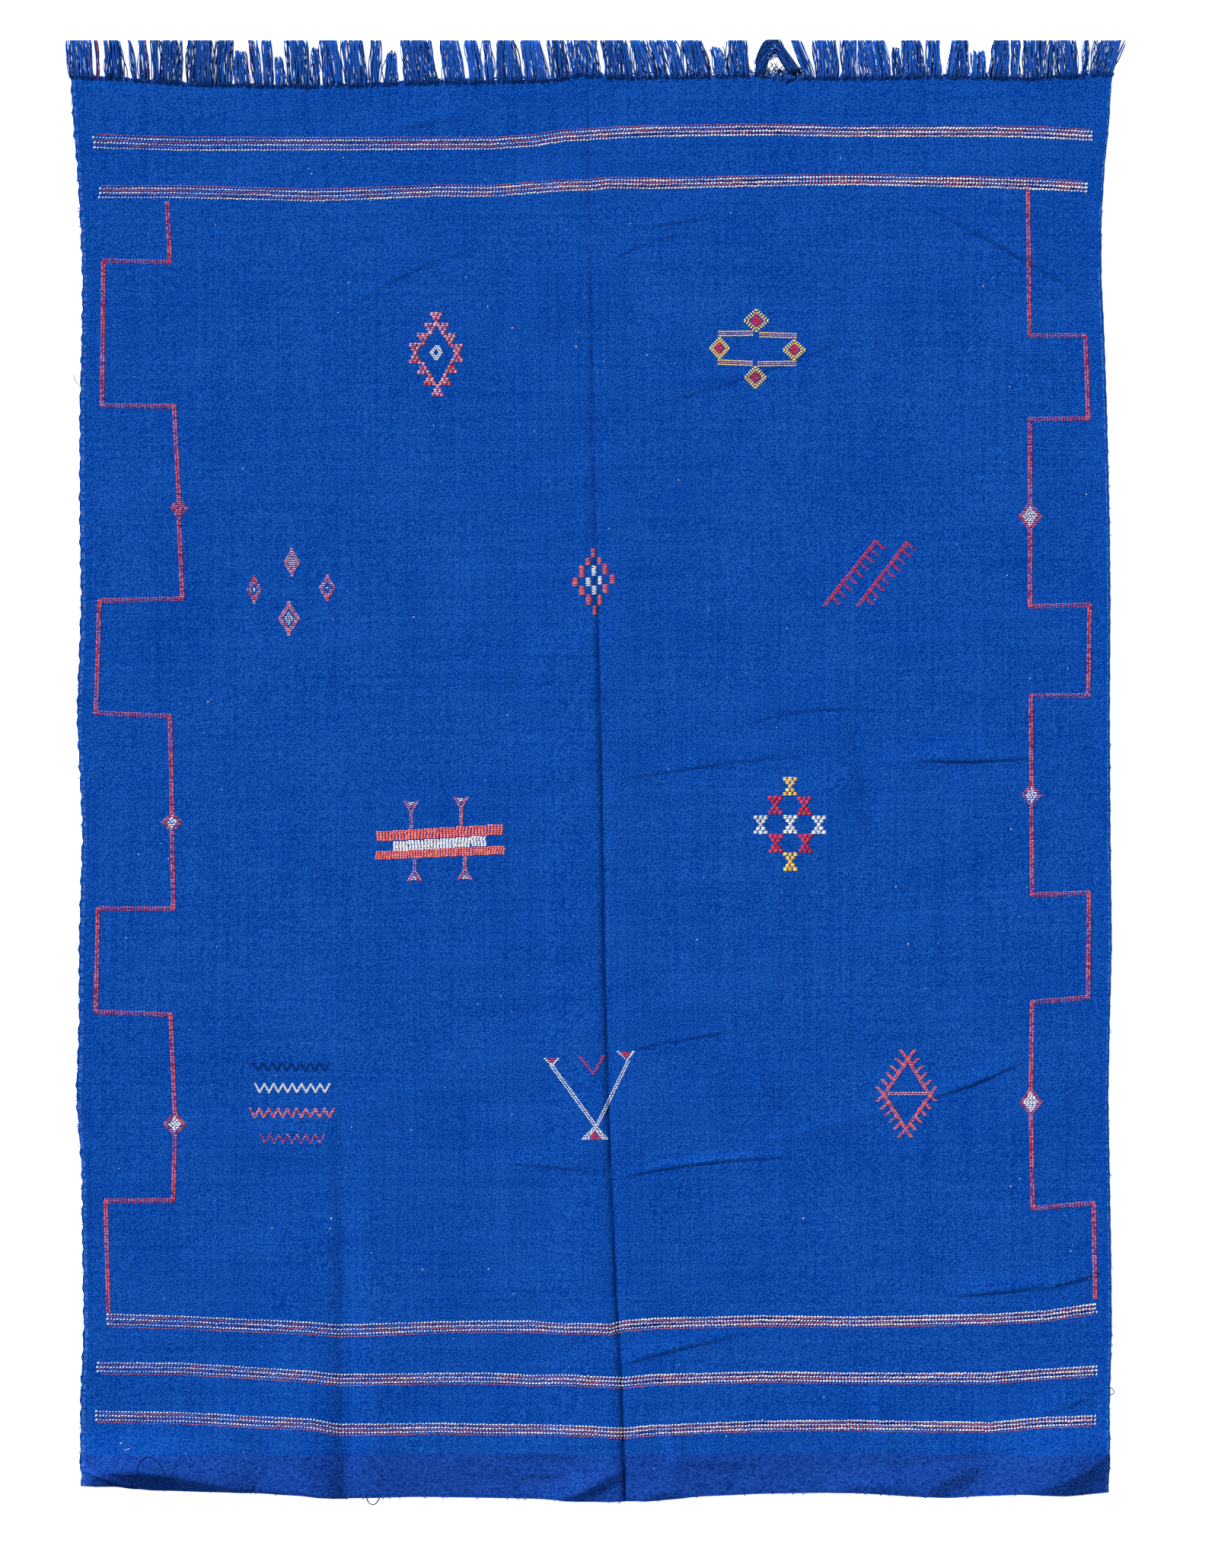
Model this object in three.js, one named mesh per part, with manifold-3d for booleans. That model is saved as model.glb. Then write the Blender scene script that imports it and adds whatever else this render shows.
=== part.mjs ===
// A flatwoven cotton rug in royal blue, lying on the floor with its fringed end towards +Y.
// Millimetres, +Z up. The origin is on the floor, under the middle of the rug's plan outline.
import * as THREE from 'three';
import { mergeVertices } from 'three/addons/utils/BufferGeometryUtils.js';
import Module from 'manifold-3d';

// The woven sheet
const CLOTH_THICKNESS = 2;
const SELVEDGE = { width: 12, extra: 0.4 }; // the doubled warps down each side
const FOOT_HEM = { depth: 9, extra: 0.8 }; // the turned edge at the plain end
const TOUCHDOWN = 0.3; // cloth that its folds would lift by less than this lies on the floor
const MEAN_FOOT = -1046;
const MEAN_HEAD = 992;

// The band of knotted warp ends, and the locks that leave it
const BAND = { width: 7.5, height: 3.2, chamfer: 1.1, gap: 0.3 };
const TRIM_LINE = 1055.5; // the locks are cut level here
const LOCK = {
  pitch: 8, // from one lock's root to the next in a bunch
  rootWidth: 5,
  tipWidth: 2.6,
  rootHeight: 2.6,
  tipHeight: 1.6,
  topShare: 0.6, // width of a lock's top face against its foot
  rootDepth: 4, // how far a root reaches into the band
  bow: 0.7, // sideways bow at mid-length
  steps: 2,
};

// The side edges, at places from the foot to the head
const SIDE_EDGES = [
  { y: -1046, left: -744, right: 741 },
  { y: -921, left: -745, right: 743 },
  { y: -811, left: -740, right: 746 },
  { y: -701, left: -742, right: 745 },
  { y: -591, left: -743, right: 743 },
  { y: -481, left: -751, right: 741 },
  { y: -371, left: -747, right: 743 },
  { y: -261, left: -747, right: 746 },
  { y: -96, left: -742, right: 744 },
  { y: 69, left: -750, right: 743 },
  { y: 234, left: -744, right: 744 },
  { y: 344, left: -746, right: 743 },
  { y: 509, left: -746, right: 739 },
  { y: 619, left: -743, right: 735 },
  { y: 701, left: -742, right: 731 },
  { y: 784, left: -745, right: 731 },
  { y: 866, left: -750, right: 736 },
  { y: 921, left: -755, right: 742 },
  { y: 976, left: -758, right: 745 },
  { y: 1004, left: -760, right: 749 },
];

// The plain end's edge, at places across the rug
const FOOT_EDGE = [
  { x: -744, y: -1033 },
  { x: -696, y: -1032 },
  { x: -641, y: -1038 },
  { x: -531, y: -1039 },
  { x: -421, y: -1045 },
  { x: -366, y: -1050 },
  { x: -256, y: -1048 },
  { x: -91, y: -1051 },
  { x: 19, y: -1055.5 },
  { x: 74, y: -1054 },
  { x: 129, y: -1049 },
  { x: 239, y: -1044 },
  { x: 377, y: -1042 },
  { x: 514, y: -1050 },
  { x: 624, y: -1043 },
  { x: 679, y: -1046 },
  { x: 741, y: -1042 },
];

// The fringed end's edge, where the band of knots begins
const HEAD_EDGE = [
  { x: -760, y: 995 },
  { x: -667, y: 990 },
  { x: -598, y: 984 },
  { x: -401, y: 980 },
  { x: -254, y: 986 },
  { x: -60, y: 989 },
  { x: -28, y: 997 },
  { x: 35, y: 993 },
  { x: 161, y: 995 },
  { x: 217, y: 997 },
  { x: 259, y: 991 },
  { x: 406, y: 993 },
  { x: 491, y: 995 },
  { x: 625, y: 992 },
  { x: 749, y: 999 },
];

// Lengthwise fold lines left by the rug's folding. The line itself lies on the floor and the cloth
// swells on its left and right: it rises over near, a distance for each side, and sinks over far.
const MIDDLE_FOLD = {
  near: { left: 6, right: 6 },
  far: 80,
  line: [
    { y: -1056, x: 43, left: 5.5, right: 1.8 },
    { y: -881, x: 37, left: 5, right: 1.5 },
    { y: -744, x: 29, left: 4.8, right: 1.4 },
    { y: -507, x: 19, left: 4.8, right: 1.3 },
    { y: -246, x: 12, left: 4.8, right: 1.3 },
    { y: -19, x: 9, left: 4.4, right: 1.2 },
    { y: 218, x: 3, left: 3.4, right: 1 },
    { y: 340, x: 0, left: 1.4, right: 0.7 },
    { y: 479, x: -3, left: 1.2, right: 0.6 },
    { y: 1000, x: -12, left: 0.9, right: 0.5 },
  ],
};
const LEFT_FOLD = {
  near: { left: 22, right: 24 },
  far: 90,
  line: [
    { y: -1056, x: -362, left: 7, right: 7 },
    { y: -900, x: -362, left: 6, right: 5 },
    { y: -530, x: -362, left: 3, right: 2.5 },
    { y: -330, x: -368, left: 0, right: 0 },
    { y: 850, x: -410, left: 0, right: 0 },
    { y: 950, x: -416, left: 1.6, right: 1.4 },
    { y: 1000, x: -418, left: 1.4, right: 1.2 },
  ],
};
const RIGHT_FOLD = {
  near: { left: 12, right: 12 },
  far: 80,
  line: [
    { y: -90, x: 391, left: 0, right: 0 },
    { y: -20, x: 391, left: 2, right: 1.6 },
    { y: 60, x: 389, left: 2.2, right: 1.6 },
    { y: 115, x: 388, left: 0, right: 0 },
    { y: 490, x: 376, left: 0, right: 0 },
    { y: 560, x: 374, left: 1.6, right: 1.2 },
    { y: 680, x: 374, left: 1.6, right: 1.2 },
    { y: 745, x: 374, left: 0, right: 0 },
  ],
};

// Wrinkles: each crest runs from one end to the other past a bend point and dies away at its ends.
// The cloth sinks over the given distances above and below the crest.
const WRINKLES = [
  { from: [-351, 672], bend: [-322, 718], to: [-181, 740], rise: 2.6, above: 24, below: 20 },
  { from: [57, 751], bend: [90, 795], to: [272, 797], rise: 1.5, above: 24, below: 20 },
  { from: [23, 513], bend: [193, 560], to: [318, 604], rise: 3, above: 26, below: 20 },
  { from: [465, 819], bend: [494, 800], to: [690, 692], rise: 3.2, above: 26, below: 20 },
  { from: [600, 560], bend: [640, 540], to: [672, 480], rise: 2, above: 22, below: 20 },
  { from: [227, 71], bend: [318, 108], to: [454, 80], rise: 2.6, above: 22, below: 20 },
  { from: [470, 20], bend: [556, 22], to: [645, 24], rise: 3.2, above: 22, below: 20 },
  { from: [23, 14], bend: [130, 24], to: [238, 24], rise: 2.4, above: 22, below: 20 },
  { from: [57, -395], bend: [113, -390], to: [175, -370], rise: 2.8, above: 22, below: 20 },
  { from: [182, -400], bend: [230, -430], to: [265, -490], rise: 2, above: 24, below: 20 },
  { from: [40, -586], bend: [150, -560], to: [270, -549], rise: 4, above: 22, below: 20 },
  { from: [235, -551], bend: [370, -522], to: [490, -482], rise: 2.6, above: 22, below: 20 },
  { from: [495, -472], bend: [560, -445], to: [625, -408], rise: 3, above: 22, below: 20 },
  { from: [-135, -565], bend: [-50, -570], to: [14, -582], rise: 2.4, above: 22, below: 20 },
  { from: [500, -747], bend: [620, -742], to: [735, -728], rise: 3, above: 22, below: 20 },
  { from: [-520, -940], bend: [-425, -985], to: [-385, -1060], rise: 5, above: 34, below: 22 },
  { from: [385, -870], bend: [415, -930], to: [425, -990], rise: 2.2, above: 24, below: 16 },
  { from: [640, -930], bend: [680, -915], to: [722, -900], rise: 2, above: 22, below: 16 },
  { from: [100, -930], bend: [118, -975], to: [112, -1030], rise: 2.2, above: 24, below: 14 },
];

// Folds that curl the foot, its two corners most of all. They run out past the edge.
const FOOT_CURLS = [
  { from: [-760, -1034], bend: [-680, -975], to: [-500, -1062], rise: 15, above: 45, below: 32 },
  { from: [-75, -1060], bend: [-10, -1040], to: [75, -1000], rise: 8, above: 26, below: 22 },
  { from: [60, -1056], bend: [100, -1030], to: [150, -1056], rise: 5, above: 16, below: 12 },
  { from: [330, -1040], bend: [420, -1020], to: [500, -1056], rise: 6, above: 22, below: 18 },
  { from: [450, -1045], bend: [520, -1010], to: [590, -985], rise: 5, above: 40, below: 26 },
  { from: [560, -1060], bend: [690, -1028], to: [800, -955], rise: 17, above: 45, below: 46 },
];

// Where the sheet's lengthwise rows of points run: beside which line, at which offsets, and how
// many equal spans lie between them and the next line's.
const COLUMN_GROUPS = [
  { line: (y) => readTable(SIDE_EDGES, 'y', y, 'left'), offsets: [0, SELVEDGE.width], spans: 6 },
  { line: (y) => readTable(LEFT_FOLD.line, 'y', y, 'x'), offsets: [-26, 0, 26], spans: 6 },
  {
    line: (y) => readTable(MIDDLE_FOLD.line, 'y', y, 'x'),
    offsets: [-44, -20, -7, 0, 7, 20, 44],
    spans: 6,
  },
  { line: (y) => readTable(RIGHT_FOLD.line, 'y', y, 'x'), offsets: [-28, 0, 28], spans: 6 },
  { line: (y) => readTable(SIDE_EDGES, 'y', y, 'right'), offsets: [-SELVEDGE.width, 0], spans: 0 },
];

// Crosswise rows of points: close together over the curled foot, wider over the field
const FOOT_ROWS = { count: 16, step: 9 };
const FIELD_ROWS = 58;

// The fringe's bunches, from left to right: middle and width of the roots, how far the tips lean
// to the right, width across the tips, and how far they end short of the trim line.
const BUNCHES = [
  { root: -743, width: 36, lean: -4.5, tip: 32, short: 0 },
  { root: -719, width: 5, lean: -4, tip: 4, short: 0 },
  { root: -694, width: 30, lean: -5.5, tip: 21, short: 0 },
  { root: -665, width: 6, lean: -10, tip: 5, short: 0 },
  { root: -651, width: 14, lean: -5, tip: 11, short: 0 },
  { root: -619, width: 44, lean: -2, tip: 42, short: 0 },
  { root: -572, width: 38, lean: 0, tip: 31, short: 0 },
  { root: -539, width: 25, lean: 3, tip: 23, short: 0 },
  { root: -509, width: 22, lean: -5, tip: 14, short: 14 },
  { root: -487, width: 12, lean: -9, tip: 12, short: 0 },
  { root: -472, width: 14, lean: -4, tip: 12, short: 0 },
  { root: -455, width: 14, lean: -3, tip: 9, short: 23 },
  { root: -428, width: 33, lean: -6, tip: 30, short: 0 },
  { root: -404, width: 11, lean: -2, tip: 8, short: 9 },
  { root: -379, width: 30, lean: -8, tip: 22, short: 0 },
  { root: -345, width: 31, lean: -8, tip: 28, short: 0 },
  { root: -320, width: 14, lean: 2, tip: 13, short: 0 },
  { root: -297, width: 22, lean: 2, tip: 12, short: 14 },
  { root: -252, width: 50, lean: -8, tip: 40, short: 0 },
  { root: -203, width: 33, lean: -9, tip: 24, short: 0 },
  { root: -172, width: 22, lean: -9, tip: 16, short: 0 },
  { root: -153, width: 12, lean: -5, tip: 11, short: 0 },
  { root: -124, width: 38, lean: -7, tip: 24, short: 0 },
  { root: -84, width: 35, lean: -11, tip: 25, short: 0 },
  { root: -62, width: 4, lean: -7, tip: 3, short: 0 },
  { root: -47, width: 22, lean: -8, tip: 16, short: 0 },
  { root: -13, width: 40, lean: -7, tip: 40, short: 0 },
  { root: 34, width: 42, lean: -9, tip: 34, short: 0 },
  { root: 70, width: 25, lean: -13, tip: 16, short: 0 },
  { root: 95, width: 21, lean: -15, tip: 22, short: 0 },
  { root: 118, width: 20, lean: -13, tip: 20, short: 0 },
  { root: 149, width: 38, lean: -11, tip: 25, short: 0 },
  { root: 181, width: 18, lean: -7, tip: 17, short: 8 },
  { root: 207, width: 30, lean: -3, tip: 26, short: 0 },
  { root: 276, width: 22, lean: -2, tip: 22, short: 40 },
  { root: 308, width: 15, lean: -12, tip: 12, short: 0 },
  { root: 335, width: 34, lean: -5, tip: 30, short: 0 },
  { root: 366, width: 20, lean: -1, tip: 22, short: 0 },
  { root: 387, width: 13, lean: -2, tip: 11, short: 0 },
  { root: 412, width: 30, lean: -9, tip: 24, short: 0 },
  { root: 435, width: 12, lean: -1, tip: 11, short: 8 },
  { root: 460, width: 32, lean: -5, tip: 24, short: 0 },
  { root: 488, width: 20, lean: -1, tip: 18, short: 0 },
  { root: 522, width: 32, lean: 4, tip: 20, short: 0 },
  { root: 552, width: 22, lean: 1, tip: 19, short: 14 },
  { root: 583, width: 29, lean: 3, tip: 18, short: 0 },
  { root: 606, width: 11, lean: 1, tip: 12, short: 0 },
  { root: 632, width: 31, lean: 3, tip: 30, short: 0 },
  { root: 655, width: 11, lean: 3, tip: 4, short: 0 },
  { root: 681, width: 34, lean: -3, tip: 28, short: 0 },
  { root: 706, width: 8, lean: 3, tip: 7, short: 0 },
  { root: 730, width: 34, lean: 13, tip: 40, short: 0 },
];

// One bunch has sprung round into rings: the radius of each lock and the angle its tip ends at
const CURL = {
  x: 258,
  y: 1027,
  rootAngle: 205,
  steps: 8,
  rings: [
    { radius: 26, tipAngle: 10 },
    { radius: 19, tipAngle: -5 },
    { radius: 12, tipAngle: -30 },
  ],
};

// A table's column at a place, in a straight line between the rows on each side of it
function readTable(table, key, place, column) {
  const next = table.findIndex((row) => row[key] > place);
  if (next === 0) return table[0][column];
  if (next < 0) return table.at(-1)[column];
  const [before, after] = [table[next - 1], table[next]];
  const share = (place - before[key]) / (after[key] - before[key]);
  return THREE.MathUtils.lerp(before[column], after[column], share);
}

const footEdge = (x) => readTable(FOOT_EDGE, 'x', x, 'y');
const headEdge = (x) => readTable(HEAD_EDGE, 'x', x, 'y');

// The x of every lengthwise row of points, at one place along the rug
function columnsAt(y) {
  const columns = [];
  COLUMN_GROUPS.forEach(({ line, offsets, spans }, group) => {
    columns.push(...offsets.map((offset) => line(y) + offset));
    if (spans === 0) return;
    const next = COLUMN_GROUPS[group + 1];
    const [start, end] = [columns.at(-1), next.line(y) + next.offsets[0]];
    for (let i = 1; i < spans; i++) columns.push(THREE.MathUtils.lerp(start, end, i / spans));
  });
  return columns;
}

// The crosswise rows' places, as shares of the way from the foot to the head
function rowShares() {
  const length = MEAN_HEAD - MEAN_FOOT;
  const shares = [0];
  for (let i = 0; i <= FOOT_ROWS.count; i++) {
    shares.push((FOOT_HEM.depth + i * FOOT_ROWS.step) / length);
  }
  const fieldStart = shares.at(-1);
  for (let i = 1; i <= FIELD_ROWS; i++) {
    shares.push(THREE.MathUtils.lerp(fieldStart, 1, i / FIELD_ROWS));
  }
  return shares;
}

// How high a fold line's swells lift the cloth
function foldLift({ near, far, line }, spot) {
  const offset = spot.x - readTable(line, 'y', spot.y, 'x');
  const side = offset < 0 ? 'left' : 'right';
  const away = Math.abs(offset);
  const rising = 1 - Math.exp(-away / near[side]);
  return readTable(line, 'y', spot.y, side) * rising * Math.exp(-away / far);
}

const flat = ([x, y]) => new THREE.Vector3(x, y, 0);

// A wrinkle's crest as short straight lines
function crestOf({ from, bend, to }) {
  return new THREE.QuadraticBezierCurve3(flat(from), flat(bend), flat(to)).getPoints(8);
}

const RIDGES = [...WRINKLES, ...FOOT_CURLS].map((row) => ({ ...row, crest: crestOf(row) }));

// How high a wrinkle lifts the cloth: most at the middle of its crest, nothing at its ends
function wrinkleLift({ crest, rise, above, below }, spot) {
  const pieces = crest.length - 1;
  let nearest = Infinity;
  let lift = 0;
  for (let i = 0; i < pieces; i++) {
    const piece = new THREE.Line3(crest[i], crest[i + 1]);
    const run = piece.delta(new THREE.Vector3());
    const share = piece.closestPointToPointParameter(spot, true);
    const distance = spot.distanceTo(piece.at(share, new THREE.Vector3()));
    if (distance >= nearest) continue;
    nearest = distance;
    const fade = Math.max(0, Math.sin((Math.PI * (i + share)) / pieces)) ** 0.7;
    const isBelow = run.x * (spot.y - crest[i].y) - run.y * (spot.x - crest[i].x) < 0;
    const sink = isBelow ? Math.max(0, 1 - distance / below) : Math.exp(-((distance / above) ** 2));
    lift = rise * fade * sink;
  }
  return lift;
}

// Height of the cloth's underside over the floor
function underside(spot) {
  const folds = [MIDDLE_FOLD, LEFT_FOLD, RIGHT_FOLD].map((fold) => foldLift(fold, spot));
  const wrinkles = RIDGES.map((ridge) => wrinkleLift(ridge, spot));
  const lift = [...folds, ...wrinkles].reduce((sum, value) => sum + value, 0);
  return Math.max(0, lift - TOUCHDOWN);
}

// A box divided into steps, as a closed mesh of shared points, to be shaped by moving its points
function steppedBox(stepsX, stepsY) {
  const box = new THREE.BoxGeometry(1, 1, 1, stepsX, stepsY, 1);
  box.deleteAttribute('normal');
  box.deleteAttribute('uv');
  return mergeVertices(box);
}

// Moves each point of a stepped box to where place(column, row, onTop) says
function shapeBox(box, stepsX, stepsY, place) {
  const points = box.getAttribute('position');
  for (let i = 0; i < points.count; i++) {
    const column = Math.round((points.getX(i) + 0.5) * stepsX);
    const row = Math.round((points.getY(i) + 0.5) * stepsY);
    const spot = place(column, row, points.getZ(i) > 0);
    points.setXYZ(i, spot.x, spot.y, spot.z);
  }
  return box;
}

// The woven sheet with its outline, fold lines, wrinkles, selvedges and hem
function clothShape() {
  const shares = rowShares();
  const stepsX = columnsAt(0).length - 1;
  const stepsY = shares.length - 1;
  return shapeBox(steppedBox(stepsX, stepsY), stepsX, stepsY, (column, row, onTop) => {
    const level = THREE.MathUtils.lerp(MEAN_FOOT, MEAN_HEAD, shares[row]);
    const x = columnsAt(level)[column];
    const y = THREE.MathUtils.lerp(footEdge(x), headEdge(x), shares[row]);
    const atSelvedge = column === 0 || column === stepsX;
    const thickness =
      CLOTH_THICKNESS + (atSelvedge ? SELVEDGE.extra : 0) + (row === 0 ? FOOT_HEM.extra : 0);
    const spot = new THREE.Vector3(x, y, 0);
    spot.z = underside(spot) + (onTop ? thickness : 0);
    return spot;
  });
}

// The band of knots, a little way off the cloth's head edge and with its points beside the cloth's
function bandShape() {
  const xs = columnsAt(MEAN_HEAD);
  const stepsX = xs.length - 1;
  return shapeBox(steppedBox(stepsX, 1), stepsX, 1, (column, row, onTop) => {
    const inset = onTop ? BAND.chamfer : 0;
    const across = row === 0 ? inset : BAND.width - inset;
    const y = headEdge(xs[column]) + BAND.gap + across;
    return new THREE.Vector3(xs[column], y, onTop ? BAND.height : 0);
  });
}

const bandOuterEdge = (x) => headEdge(x) + BAND.gap + BAND.width;

// A lock of yarn lying level on the floor along a path, flat below and narrower above
function lockShape(path, steps) {
  return shapeBox(steppedBox(1, steps), 1, steps, (column, row, onTop) => {
    const share = row / steps;
    const width = THREE.MathUtils.lerp(LOCK.rootWidth, LOCK.tipWidth, share);
    const height = THREE.MathUtils.lerp(LOCK.rootHeight, LOCK.tipHeight, share);
    const half = (width / 2) * (onTop ? LOCK.topShare : 1);
    const heading = path.getTangent(share);
    const toRight = new THREE.Vector3(heading.y, -heading.x, 0);
    const spot = path.getPoint(share).addScaledVector(toRight, column === 0 ? -half : half);
    spot.z = onTop ? height : 0;
    return spot;
  });
}

// The locks of one bunch, spread evenly across its roots and its tips
function bunchLocks({ root, width, lean, tip, short }) {
  const count = Math.max(1, Math.round(width / LOCK.pitch));
  const locks = [];
  for (let i = 0; i < count; i++) {
    const place = count === 1 ? 0 : i / (count - 1) - 0.5;
    const rootX = root + place * (width - LOCK.rootWidth);
    const tipX = root + lean + place * (tip - LOCK.tipWidth);
    const bow = LOCK.bow * Math.sin(rootX);
    const path = new THREE.QuadraticBezierCurve3(
      new THREE.Vector3(rootX, bandOuterEdge(rootX) - LOCK.rootDepth, 0),
      new THREE.Vector3((rootX + tipX) / 2 + 2 * bow, (bandOuterEdge(rootX) + TRIM_LINE) / 2, 0),
      new THREE.Vector3(tipX, TRIM_LINE - short, 0),
    );
    locks.push(lockShape(path, LOCK.steps));
  }
  return locks;
}

// A lock that leaves the band, rises round its ring and comes down on the far side
function ringLock({ radius, tipAngle }) {
  const start = CURL.x + radius * Math.cos(THREE.MathUtils.degToRad(CURL.rootAngle));
  const points = [new THREE.Vector3(start, bandOuterEdge(start) - LOCK.rootDepth, 0)];
  for (let i = 0; i < CURL.steps; i++) {
    const degrees = THREE.MathUtils.lerp(CURL.rootAngle, tipAngle, i / (CURL.steps - 1));
    const angle = THREE.MathUtils.degToRad(degrees);
    points.push(
      new THREE.Vector3(CURL.x + radius * Math.cos(angle), CURL.y + radius * Math.sin(angle), 0),
    );
  }
  return lockShape(new THREE.CatmullRomCurve3(points), CURL.steps);
}

const wasm = await Module();
wasm.setup();

function toSolid(geometry) {
  return new wasm.Manifold(
    new wasm.Mesh({
      numProp: 3,
      vertProperties: geometry.getAttribute('position').array,
      triVerts: new Uint32Array(geometry.index.array),
    }),
  );
}

function toGeometry(solid) {
  const { vertProperties, triVerts } = solid.getMesh();
  return new THREE.BufferGeometry()
    .setAttribute('position', new THREE.BufferAttribute(vertProperties, 3))
    .setIndex(new THREE.BufferAttribute(triVerts, 1));
}

// The fringe is one solid: every lock's root is joined into the band
function fringeShape() {
  const locks = [...BUNCHES.flatMap(bunchLocks), ...CURL.rings.map(ringLock)];
  const joined = locks.reduce((solid, lock) => solid.add(toSolid(lock)), toSolid(bandShape()));
  return toGeometry(joined);
}

function pieceOf(name, geometry, color) {
  const yarn = new THREE.MeshStandardMaterial({ color, roughness: 0.95, metalness: 0 });
  const mesh = new THREE.Mesh(geometry, yarn);
  mesh.name = name;
  return mesh;
}

const rug = new THREE.Group();
rug.add(pieceOf('cloth', clothShape(), 0x124ca9));
rug.add(pieceOf('fringe', fringeShape(), 0x1a4796));

export default rug;
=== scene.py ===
"""A royal blue flatwoven cotton rug, laid out on a pale studio floor and seen from straight above.

The cloth is one thin sheet with the fold lines and wrinkles of a rug that was kept folded. Stripes,
stepped side lines and small figures are laid in with extra weft, and the warp ends form a fringe.
Sizes in the tables are real millimetres in the rug's own frame: X across, Y towards the fringe.
"""

import math

import bmesh
import bpy
import numpy as np
from bpy.props import FloatProperty, FloatVectorProperty, IntProperty, PointerProperty
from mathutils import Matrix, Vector
from mathutils.bvhtree import BVHTree


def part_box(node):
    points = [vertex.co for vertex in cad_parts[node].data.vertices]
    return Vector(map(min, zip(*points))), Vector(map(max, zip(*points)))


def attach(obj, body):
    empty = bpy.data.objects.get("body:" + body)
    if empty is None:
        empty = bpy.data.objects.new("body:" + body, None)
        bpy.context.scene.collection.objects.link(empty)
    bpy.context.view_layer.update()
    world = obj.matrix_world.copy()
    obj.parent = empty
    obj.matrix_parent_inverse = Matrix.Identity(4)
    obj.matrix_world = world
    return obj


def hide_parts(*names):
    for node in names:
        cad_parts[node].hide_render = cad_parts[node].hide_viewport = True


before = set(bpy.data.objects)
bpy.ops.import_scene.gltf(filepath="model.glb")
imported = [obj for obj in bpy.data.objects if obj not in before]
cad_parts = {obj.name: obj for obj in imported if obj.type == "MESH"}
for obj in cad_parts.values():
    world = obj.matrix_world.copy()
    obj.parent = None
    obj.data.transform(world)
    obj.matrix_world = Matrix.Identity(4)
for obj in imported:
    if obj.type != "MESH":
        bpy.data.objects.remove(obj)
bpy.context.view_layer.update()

bl_info = {
    "name": "Flatwoven rug",
    "version": (1, 0, 0),
    "blender": (4, 5, 0),
    "location": "View3D > Sidebar > Rug",
    "description": "Builds a fringed flatwoven cotton rug with laid-in stripes and figures",
    "category": "Object",
}

MM = 0.001
BODY = "root"
SEED = 7
# A distance in millimetres past anything on the rug
FAR_OFF = 1e9

# Where the fringe is trimmed, taken from the frame, and the mean heights of the cloth's two ends
TRIM_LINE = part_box("fringe")[1].y / MM
MEAN_FOOT = -1046
MEAN_HEAD = 992
# Top of the plain band at the foot
BAND_TOP = -988
# How far the cloth runs on under the knots of the fringe, and where their row begins
HEAD_LAP = 7
KNOTS = 8
# How far down the cloth the sprung bunch of the fringe reaches
CURL_LOW = 1001
# Widths of the turned selvedges and of the hem, and how much thicker than the field they are
SELVEDGE_WIDTH = 9
SELVEDGE_EXTRA = 0.4
HEM_WIDTH = 4
HEM_EXTRA = 0.8
# The cloth's mesh is halved, round by round, where it is this near to a crease, wrinkle or edge
REFINED = (12, 4, 0.5)

# Side edges of the cloth, from the foot to the head
SIDE_EDGES = {
    "y": (-1046, -921, -811, -701, -591, -481, -371, -261, -96, 69,
          234, 344, 509, 619, 701, 784, 866, 921, 976, 1004),
    "left": (-744, -745, -740, -742, -743, -751, -747, -747, -742, -750,
             -744, -746, -746, -743, -742, -745, -750, -755, -758, -760),
    "right": (741, 743, 746, 745, 743, 741, 743, 746, 744, 743,
              744, 743, 739, 735, 731, 731, 736, 742, 745, 749),
}
FOOT_EDGE = {
    "x": (-744, -696, -641, -531, -421, -366, -256, -91, 19, 74, 129, 239, 377, 514, 624, 679, 741),
    "y": (-1033, -1032, -1038, -1039, -1045, -1050, -1048, -1051, -1055.5, -1054, -1049, -1044,
          -1042, -1050, -1043, -1046, -1042),
}
HEAD_EDGE = {
    "x": (-760, -667, -598, -401, -254, -60, -28, 35, 161, 217, 259, 406, 491, 625, 749),
    "y": (995, 990, 984, 980, 986, 989, 997, 993, 995, 997, 991, 993, 995, 992, 999),
}

# Lengthwise fold lines: the line lies on the floor and the cloth swells beside it, by "left" and
# "right". It rises within "near" on each side and sinks again over "far". A sharpness of 1 makes a
# crease and one of 2 a soft trough.
FOLD_LINES = (
    {
        "near": (6, 6),
        "sharpness": 1,
        "far": 80,
        "y": (-1056, -881, -744, -507, -246, -19, 218, 340, 479, 1000),
        "x": (43, 37, 29, 19, 12, 9, 3, 0, -3, -12),
        "left": (5.5, 5, 4.8, 4.8, 4.8, 4.4, 3.6, 2.3, 2.1, 1.3),
        "right": (1.8, 1.5, 1.4, 1.3, 1.3, 1.2, 1, 0.7, 0.6, 0.5),
    },
    {
        "near": (20, 24),
        "sharpness": 2,
        "far": 90,
        "y": (-1056, -900, -530, -330),
        "x": (-360, -360, -361, -368),
        "left": (8, 6.5, 2.6, 0),
        "right": (7, 4.8, 1.6, 0),
    },
    {
        "near": (9, 9),
        "sharpness": 1,
        "far": 70,
        "y": (850, 930, 1000),
        "x": (-410, -414, -418),
        "left": (0, 1.6, 1.5),
        "right": (0, 1.3, 1.2),
    },
    {
        "near": (19, 19),
        "sharpness": 2,
        "far": 80,
        "y": (-150, -100, -20, 60, 95),
        "x": (410, 403, 393, 384, 382),
        "left": (0, 1.8, 2.8, 2.6, 0),
        "right": (0, 1, 1.6, 1.4, 0),
    },
)

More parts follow.
